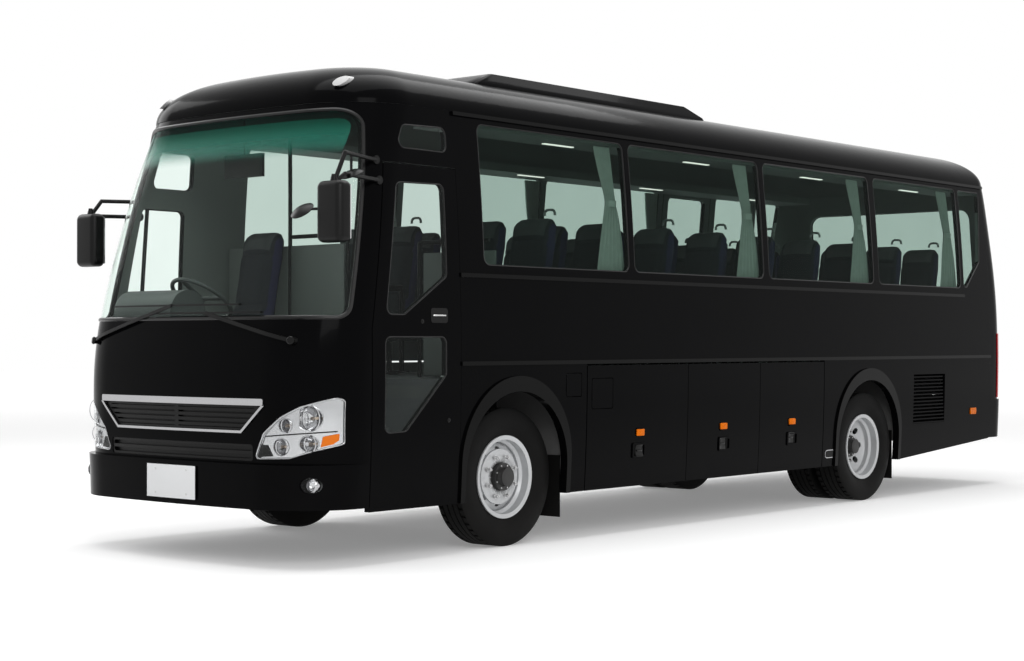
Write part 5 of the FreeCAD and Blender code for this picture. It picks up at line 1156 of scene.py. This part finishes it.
def plate(name, find, node, across, up, way):
    """A blank number plate with a rounded edge and four bolts, on two pads."""
    body = NODES[node]["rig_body"]
    y = find(node, across, up)[0].y + way * PLATE_STAND
    face_y = y + way * PLATE_SHEET
    low = Vector((across - PLATE_WIDTH / 2, min(y, face_y), up - PLATE_HEIGHT / 2))
    high = Vector((across + PLATE_WIDTH / 2, max(y, face_y), up + PLATE_HEIGHT / 2))
    piece(block(low, high, PLATE_EDGE), name, body, "lamp_inner", PLATE_PAINT)
    bolts = []
    pads = []
    for shift in (-1, 1):
        x = across + shift * PLATE_WIDTH * PLATE_BOLT_SHARES[0]
        met = find(node, x, up)[0]
        pads.append(rod((x, met.y - way * PLATE_SHEET, up), (x, y, up), PLATE_BOLT * 2, BOLT_SIDES))
        for rise in (-1, 1):
            foot = Vector((x, face_y, up + rise * PLATE_HEIGHT * PLATE_BOLT_SHARES[1]))
            head = foot + Vector((0.0, way * PLATE_SHEET, 0.0))
            bolts.append(rod(foot, head, PLATE_BOLT, BOLT_SIDES, PLATE_EDGE))
    piece(joined(bolts), name + "_bolts", body, *BRIGHT)
    piece(joined(pads), name + "_pads", body, *DARK)


# Seats
def swollen(obj):
    """Blows a pad up by cloth simulation, holding each point within a cap of its start."""
    modify(obj, "REMESH", mode="VOXEL", voxel_size=PAD_VOXEL, use_smooth_shade=True)
    start = [vertex.co.copy() for vertex in obj.data.vertices]
    pick(obj)
    cloth = obj.modifiers.new("Cloth", "CLOTH")
    cloth.settings.use_pressure = True
    cloth.settings.uniform_pressure_force = PAD_PRESSURE
    cloth.settings.effector_weights.gravity = 0.0
    cloth.point_cache.frame_start = 1
    cloth.point_cache.frame_end = PAD_FRAMES
    for frame_number in range(1, PAD_FRAMES + 1):
        bpy.context.scene.frame_set(frame_number)
    bpy.ops.object.modifier_apply(modifier=cloth.name)
    bpy.context.scene.frame_set(1)
    for vertex, before in zip(obj.data.vertices, start):
        moved = vertex.co - before
        if moved.length > PAD_CAP:
            vertex.co = before + moved.normalized() * PAD_CAP


def sewn(obj, lines, facing):
    """Presses sewn channels into the faces of a pad that look one way."""
    for vertex in obj.data.vertices:
        if vertex.normal.dot(facing) < CHANNEL_FACING:
            continue
        for axis, place in lines:
            distance = (vertex.co[axis] - place) / CHANNEL_SPREAD
            if abs(distance) < CHANNEL_REACH:
                vertex.co -= facing * CHANNEL_DEPTH * math.exp(-distance * distance)
    return obj


def cushion_pad(width, length, height):
    """A seat cushion with two sewn channels, its front edge at the origin."""
    inset = PAD_INSET
    half = width / 2 - inset
    pad = block((-half, inset, inset - height), (half, length - inset, -inset), PAD_ROUND, SOFT_EDGE)
    swollen(pad)
    lines = [(0, side * width * CHANNEL_SHARE) for side in (-1, 1)] + [(1, length * CUSHION_SEAM_SHARE)]
    return sewn(pad, lines, Vector((0.0, 0.0, 1.0)))


def back_pad(width, height, depth, lean):
    """A seat back with shoulders, a headrest part and sewn channels, leaning back from its foot."""
    inset = PAD_INSET
    wide, tall = width - 2 * inset, height - 2 * inset
    right = [(across * wide, inset + up * tall) for across, up in SHOULDER_SHARES]
    around = right + [(-across, up) for across, up in reversed(right)]
    pad = drawn(around, lambda across, up: (across, inset, up), (0.0, depth - 2 * inset, 0.0))
    modify(pad, "BEVEL", width=PAD_ROUND, segments=2, limit_method="ANGLE")
    swollen(pad)
    lines = [(0, side * width * CHANNEL_SHARE) for side in (-1, 1)]
    lines += [(2, height * share) for share in BACK_SEAM_SHARES]
    sewn(pad, lines, Vector((0.0, -1.0, 0.0)))
    for vertex in pad.data.vertices:
        vertex.co.y += lean * vertex.co.z / height
    return pad


def dress_back(obj, width, height):
    """Headrest cloth on the upper front, bolster cloth down both edges."""
    for face in obj.data.polygons:
        across, up = abs(face.center.x) / width, face.center.z / height
        if face.normal.y > BACK_FACING:
            continue
        if HEADREST_SHARES[0] < up < HEADREST_SHARES[1] and across < HEADREST_SHARES[2]:
            face.material_index = 1
        elif across > BOLSTER_SHARE and up < HEADREST_SHARES[1]:
            face.material_index = 2


def seat_frame(width, depth, base, cushion_z):
    """The legs, feet, pan and armrests of one pair of seats."""
    parts = []
    under = cushion_z - CUSHION_HEIGHT
    foot = FRAME_TUBE * 2
    for x in (-width * FRAME_HALF_SHARE, width * FRAME_HALF_SHARE):
        for share in FRAME_LEG_SHARES:
            y = depth * share
            low = (x - FRAME_TUBE, y - FRAME_TUBE, base)
            parts.append(block(low, (x + FRAME_TUBE, y + FRAME_TUBE, under), FRAME_TUBE / 2))
        fore, rear = (depth * share for share in FRAME_FOOT_SHARES)
        parts.append(block((x - foot, fore, base), (x + foot, rear, base + FRAME_TUBE), FRAME_TUBE / 3))
    half = width * FRAME_PAN_SHARES[0]
    fore, rear = (depth * share for share in FRAME_PAN_SHARES[1:])
    parts.append(block((-half, fore, under - FRAME_TUBE), (half, rear, under), FRAME_TUBE / 2))
    arm_z = cushion_z + ARM_RISE
    fore, rear = (depth * share for share in ARM_SHARES)
    for x in (foot - width / 2, width / 2 - foot):
        bends = [(x, rear, under), (x, rear, arm_z), (x, rear - foot, arm_z), (x, fore, arm_z)]
        parts.append(tube(bends, FRAME_TUBE))
        high = (x + FRAME_TUBE, rear, arm_z + foot)
        parts.append(block((x - FRAME_TUBE, fore, arm_z), high, FRAME_TUBE / 2, SOFT_EDGE))
    return joined(parts)


def grab_loop(width, depth, top_z, lean):
    """The loop on the aisle shoulder of a pair of seats."""
    x = width / 2 - LOOP_INSET
    y = depth + lean * LOOP_LEAN_SHARE - BACK_DEPTH / 2
    shoulder, crown = (top_z + LOOP_RISE * share for share in LOOP_SHARES)
    low = top_z - LOOP_RISE
    line = [(x - LOOP_WIDTH, y, low), (x - LOOP_WIDTH, y, shoulder), (x - LOOP_WIDTH / 2, y, crown),
            (x, y, shoulder), (x, y, low)]
    return tube(line, LOOP_RADIUS)


def seats():
    """Nine rows of twin seats on both sides, and the driver's seat, padded by simulation."""
    half = SEAT_PAIR / 2
    single = half - SEAT_SPLIT
    pad = cushion_pad(single, SEAT_DEPTH - BACK_DEPTH + CUSHION_TUCK, CUSHION_HEIGHT)
    height = SEAT_TOP - SEAT_CUSHION + BACK_SINK
    back = back_pad(single, height, BACK_DEPTH, SEAT_LEAN)
    dress_back(back, single, height)
    frame_part = seat_frame(SEAT_PAIR, SEAT_DEPTH, CABIN_FLOOR, SEAT_CUSHION)
    loop = grab_loop(SEAT_PAIR, SEAT_DEPTH, SEAT_TOP, SEAT_LEAN)
    made = []
    for side, label in SIDES:
        x = side * (SEAT_OUTER_X - half)
        for row in range(SEAT_ROWS):
            y = SEAT_FIRST_Y + SEAT_PITCH * row
            tag = "%s_%d" % (label, row + 1)
            for shift, suffix in ((-half / 2, "a"), (half / 2, "b")):
                place = Vector((x + shift, y, SEAT_CUSHION))
                made += seat_pads(pad, back, place, "seat_%s_" + tag + suffix)
            stand = copied(frame_part, (x, y, 0.0))
            made.append(piece(stand, "seat_frame_" + tag, "body", *DARK))
            handle = copied(loop, (x, y, 0.0))
            made.append(piece(handle, "seat_loop_" + tag, "body", "galvanised", LOOP))
    made += driver_seat(pad, back)
    for spare in (pad, back, frame_part, loop):
        bpy.data.objects.remove(spare)
    for obj in made:
        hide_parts("seats")


def pad_piece(obj, name, *materials):
    """Names one padded piece, gives it its materials, keeps its faces' material numbers and rides it on the
    body.
    """
    kept = [face.material_index for face in obj.data.polygons]
    piece(obj, name, "body", "seat_fabric", *materials)
    for face, index in zip(obj.data.polygons, kept):
        face.material_index = index
    return smooth(obj)


def seat_pads(pad, back, place, name):
    """The cushion and the back of one seat, set by the cushion's front edge."""
    behind = place + Vector((0.0, SEAT_DEPTH - BACK_DEPTH, -BACK_SINK))
    return [pad_piece(copied(pad, place), name % "cushion", CLOTH),
            pad_piece(copied(back, behind), name % "back", CLOTH, HEADREST, BOLSTER)]


def driver_seat(pad, back):
    """The driver's seat on its box, of the same pads."""
    made = seat_pads(pad, back, Vector((DRIVER_X, DRIVER_Y, DRIVER_CUSHION)), "driver_%s")
    fore, rear = (DRIVER_Y + SEAT_DEPTH * share for share in DRIVER_BASE_SHARES)
    low = (DRIVER_X - DRIVER_BASE_HALF, fore, PLATFORM)
    high = (DRIVER_X + DRIVER_BASE_HALF, rear, DRIVER_CUSHION - CUSHION_HEIGHT + PAD_INSET)
    base = block(low, high, FRAME_TUBE)
    return made + [piece(base, "driver_seat_base", "body", *DARK)]


# Curtains
def curtain_span(z):
    """The two edges of a curtain at one height, from its window's end."""
    top, tie, hem = CURTAIN_ZS
    edges, power, last = CURTAIN_HEM, CURTAIN_CURVES[1], hem
    if z > tie:
        edges, power, last = CURTAIN_TOP, CURTAIN_CURVES[0], top
    share = ((z - tie) / (last - tie)) ** power
    return [low + (high - low) * share for low, high in zip(CURTAIN_TIE, edges)]


def curtain(name, end, side):
    """A pleated curtain tied back beside a window's rear end."""
    clear()
    bpy.ops.mesh.primitive_grid_add(x_subdivisions=CURTAIN_COLUMNS, y_subdivisions=CURTAIN_ROWS, size=1.0,
                                    location=(0.5, 0.5, 0.0))
    obj = settle(bpy.context.object)
    top, hem = CURTAIN_ZS[::2]
    for vertex in obj.data.vertices:
        along, up = vertex.co.x, vertex.co.y
        z = hem + (top - hem) * up
        near, far = curtain_span(z)
        share = (far - near) / (CURTAIN_HEM[1] - CURTAIN_HEM[0])
        swing = math.sin(along * math.tau * CURTAIN_PLEATS + math.sin(up * CURTAIN_SWAY) * CURTAIN_DRIFT)
        swell = PLEAT_DEPTH * (1.0 - CURTAIN_SQUEEZE * share)
        x = curtain_plane(end, side, z) + swell * swing
        vertex.co = (side * x, end + near + (far - near) * along, z)
    modify(obj, "SUBSURF", levels=1, render_levels=1)
    piece(obj, name, "body", "curtain_cloth", CURTAIN)
    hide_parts("curtains")


def curtain_plane(end, side, z):
    """How far out the middle of a curtain's pleats hangs at one height."""
    wall = on_flank(CURTAIN_WALLS[side], end + CURTAIN_PROBE, z, side)[0]
    return abs(wall.x) - CURTAIN_SET - PLEAT_DEPTH


def curtain_tie(name, end, side):
    """The band that holds a curtain back."""
    tie = CURTAIN_ZS[1]
    band = turned(TIE_SECTION, (0.0, 0.0, 0.0), (0.0, 0.0, 1.0))
    band.scale = (PLEAT_DEPTH * TIE_SHARES[0], (CURTAIN_TIE[1] - CURTAIN_TIE[0]) * TIE_SHARES[1], TIE_WIDTH)
    band.location = (side * curtain_plane(end, side, tie), end + sum(CURTAIN_TIE) / 2, tie)
    piece(smooth(settle(band)), name, "body", "curtain_cloth", TIE_CLOTH)


def curtains():
    """A tied curtain at the rear end of each side window."""
    for side, label in SIDES:
        for number, end in enumerate(WINDOW_ENDS, 1):
            name = "curtain_%s_%d" % (label, number)
            curtain(name, end, side)
            curtain_tie(name + "_tie", end, side)


# Seals, trims and small parts of the body
def seals():
    """Rubber seals round the windscreen and the side, door and rear panes."""
    for name in ("windscreen", "body_glass", "entrance_door_glass", "emergency_door_glass"):
        radius = SCREEN_SEAL if name == "windscreen" else WINDOW_SEAL
        piece(rim_lines(name, radius), name + "_seal", NODES[name]["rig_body"], "rubber", SEAL)


def sun_band():
    """A tinted band that fades out down the top of the windscreen."""
    outline = corners(0.0, BAND_MIDDLE_Z, *BAND_SIZE, BAND_ROUND)
    made = laid(on_nose, "windscreen", outline, -BAND_SET, BAND_SHEET, BAND_CUTS)
    piece(made, "windscreen_band", "body", "glass", BAND)
    tree = BAND.node_tree
    height = BAND_SIZE[1]
    fade = height_fade(tree, BAND_MIDDLE_Z - height / 2, BAND_MIDDLE_Z + height * BAND_FADE_SHARE)
    fade.inputs["To Max"].default_value = BAND_STRENGTH
    link(tree, fade.outputs[0], tree.nodes["Principled BSDF"].inputs["Alpha"])


def mirror_faces():
    """Mirror glass in the rear face of each outside mirror."""
    for label, place in MIRRORS.items():
        width, depth, height = MIRROR_SIZE
        across, up = width * MIRROR_GLASS_SHARES[0], height * MIRROR_GLASS_SHARES[1]
        back = place[1] + depth / 2
        made = block((place[0] - across, back - MIRROR_LIP, place[2] - up),
                     (place[0] + across, back + MIRROR_LIP / 2, place[2] + up), MIRROR_LIP / 2)
        piece(made, "mirror_glass_" + label, "body", "chrome", MIRROR)


def wiper_pivots():
    """A cap on each wiper pivot."""
    caps = []
    for side in (-1, 1):
        place, facing = on_nose("wipers", side * WIPER_PIVOT_X, WIPER_PIVOT_Z)
        caps.append(turned(PIVOT_PROFILE, place, facing, CAP_STEPS))
    piece(joined(caps), "wiper_pivot_caps", "body", *DARK)


def pull(place, half, lift, radius):
    """A bent bar that stands off a surface."""
    return tube([place - half, place - half + lift, place + half + lift, place + half], radius)


def door_furniture():
    """The entrance door's pull on its plate, and its two locks."""
    body = NODES["entrance_door"]["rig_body"]
    outline = corners(*HANDLE_MIDDLE, *HANDLE_SIZE, HANDLE_ROUND)
    backing = laid(on_flank, "entrance_door", outline, 0.0, TRIM_SHEET, DOOR_PLATE_CUTS)
    piece(backing, "door_handle_plate", body, *DARK)
    place, facing = on_flank("entrance_door", *HANDLE_MIDDLE)
    half = Vector((0.0, HANDLE_SIZE[0] * HANDLE_GRIP_SHARE, 0.0))
    made = pull(place, half, facing * HANDLE_STAND, HANDLE_BAR)
    piece(made, "door_handle_pull", body, *BRIGHT)
    locks = [turned(LOCK_PROFILE, *on_flank("entrance_door", y, z), CAP_STEPS) for y, z in DOOR_LOCKS]
    piece(joined(locks), "door_locks", body, *DARK)


def lid_fittings():
    """The handle cup with its bar and the amber marker of each luggage lid."""
    for side, label in SIDES:
        def find(name, y, z):
            return on_flank(name, y, z, side)

        for number, (handle_y, handle_z), (marker_y, marker_z) in zip((1, 2, 3), LID_HANDLES, LID_MARKERS):
            name = "luggage_lid_%s_%d" % (label, number)
            body = NODES[name]["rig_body"]
            outline = corners(handle_y, handle_z, *LID_CUP, LID_CUP_ROUND)
            cup = laid(find, name, outline, 0.0, TRIM_SHEET, FEW_CUTS)
            piece(cup, name + "_cup", body, *DARK)
            place, facing = find(name, handle_y, handle_z)
            half = Vector((0.0, LID_CUP[0] * HANDLE_GRIP_SHARE, 0.0))
            lift = facing * TRIM_SHEET * 2
            bar = rod(place - half + lift, place + half + lift, LID_BAR, BOLT_SIDES, LID_BAR / 3)
            piece(bar, name + "_bar", body, "black_plastic", SEAL)
            outline = corners(marker_y, marker_z, *LID_MARKER, LID_CUP_ROUND / 2)
            marker = laid(find, name, outline, 0.0, MARKER_SHEET, FEW_CUTS)
            piece(marker, name + "_marker", body, "lamp_colour", AMBER)


def flank_oval():
    """The bright oval fitting low on the left flank, with a dark middle."""
    outer = corners(*OVAL_MIDDLE, *OVAL_SIZE, OVAL_ROUND)
    made = laid(on_flank, "skirt_left", outer, 0.0, TRIM_SHEET, FEW_CUTS)
    piece(made, "flank_oval_plate", "body", "chrome", CHROME)
    inner = corners(*OVAL_MIDDLE, *(size - OVAL_RING * 2 for size in OVAL_SIZE), OVAL_ROUND - OVAL_RING)
    made = laid(on_flank, "skirt_left", inner, TRIM_SHEET, TRIM_SHEET / 2, FEW_CUTS)
    piece(made, "flank_oval_middle", "body", "trim", TRIM)


def engine_lid_fittings():
    """The grip and the vent slats of the engine lid."""
    body = NODES["engine_lid"]["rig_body"]
    low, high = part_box("engine_lid")
    place, facing = on_tail("engine_lid", 0.0, low.z + TAIL_GRIP_RISE)
    half = Vector((TAIL_GRIP_HALF, 0.0, 0.0))
    made = pull(place, half, facing * TAIL_GRIP_REACH, TAIL_GRIP_RADIUS)
    piece(made, "engine_lid_grip", body, *BRIGHT)
    vents = []
    reach = Vector(LID_VENT_HALF)
    for row in range(LID_VENT_ROWS):
        z = high.z - LID_VENT_DROP - row * LID_VENT_PITCH
        for side in (-1, 1):
            place = on_tail("engine_lid", side * LID_VENT_X, z)[0]
            vents.append(block(place - reach, place + reach, LID_VENT_HALF[1] / 2))
    piece(joined(vents), "engine_lid_vents", body, *DARK)


# Cabin fittings
def cabin_lamps():
    """Slit lamps under the left and right racks."""
    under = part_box("luggage_racks")[0].z
    half = Vector(SLIT_SIZE) / 2
    for side, label in SIDES:
        lamps = []
        for y in SLIT_YS:
            middle = Vector((side * (SLIT_X + half.x), y, under))
            lamps.append(block(middle - half, middle + half, half.z / 2))
        piece(joined(lamps), "cabin_lamps_" + label, "body", "lamp_inner", LIT)


def partitions():
    """Grey panels behind the driver and the entrance, and the rails beside them."""
    panels = [block(low, high, PARTITION_ROUND, SOFT_EDGE) for low, high in PARTITION_PANELS]
    piece(joined(panels), "cabin_partitions", "body", "galvanised", LINING)
    rails = [tube(line, RAIL_TUBE) for line in RAIL_LINES]
    piece(joined(rails), "cabin_rails", "body", *DARK)


# Studio
def camera():
    """The camera at the photograph's own place."""
    clear()
    turn = (math.pi / 2 + CAMERA_PITCH, 0.0, CAMERA_YAW)
    bpy.ops.object.camera_add(location=CAMERA_PLACE, rotation=turn)
    eye = bpy.context.object
    eye.data.lens = CAMERA_LENS
    eye.data.sensor_width = SENSOR_WIDTH
    eye.data.clip_end = CAMERA_CLIP
    bpy.context.scene.camera = eye


def studio_world():
    """A white surround for the eye and for reflections, and a softer light from it."""
    world = bpy.data.worlds.new("studio")
    bpy.context.scene.world = world
    world.use_nodes = True
    tree = world.node_tree
    sky = put(tree.nodes["Background"], {"Color": WHITE})
    strength = put(node(tree, "MapRange"), {"To Min": WORLD_LIGHT, "To Max": 1.0})
    seen = seen_by(tree, "Is Camera Ray", "Is Transmission Ray", "Is Glossy Ray")
    link(tree, seen, strength.inputs["Value"])
    link(tree, strength.outputs[0], sky.inputs["Strength"])


def studio_floor():
    """A wide pale floor that stays white to the eye outside the shadow."""
    clear()
    bpy.ops.mesh.primitive_plane_add(size=FLOOR_HALF * 2)
    floor = bpy.context.object
    floor.name = "studio_floor"
    made = finish("pale floor", FLOOR_TONE, 0.9, spread=0.01, bump=0.0)
    tree = made.node_tree
    shader = put(tree.nodes["Principled BSDF"], {"Emission Color": WHITE})
    place = node(tree, "TexCoord")
    reach = node(tree, "VectorMath", operation="LENGTH")
    fade = put(node(tree, "MapRange"), dict(zip(("From Min", "From Max", "To Min", "To Max"), FLOOR_FADE)))
    link(tree, place.outputs["Object"], reach.inputs[0])
    link(tree, reach.outputs["Value"], fade.inputs["Value"])
    seen = math_node(tree, "MULTIPLY", seen_by(tree, "Is Camera Ray", "Is Glossy Ray"), fade.outputs[0])
    link(tree, seen, shader.inputs["Emission Strength"])
    floor.data.materials.append(made)


def soft_lamps():
    """Large soft lamps, each aimed at a point."""
    for place, target, size, power in SOFT_LAMPS:
        clear()
        turn = (Vector(target) - Vector(place)).to_track_quat("-Z", "Y").to_euler()
        bpy.ops.object.light_add(type="AREA", location=place, rotation=turn)
        lamp = bpy.context.object.data
        lamp.shape = "RECTANGLE"
        lamp.size, lamp.size_y = size
        lamp.energy = power


dress_solids()
wheels()
lamp_details()
fog_details()
plate("front_plate", on_nose, "front_bumper", *FRONT_PLATE, -1)
plate("rear_plate", on_tail, "rear_bumper", *REAR_PLATE, 1)
seals()
sun_band()
mirror_faces()
wiper_pivots()
door_furniture()
lid_fittings()
flank_oval()
engine_lid_fittings()
cabin_lamps()
partitions()
seats()
curtains()
camera()
studio_world()
studio_floor()
soft_lamps()
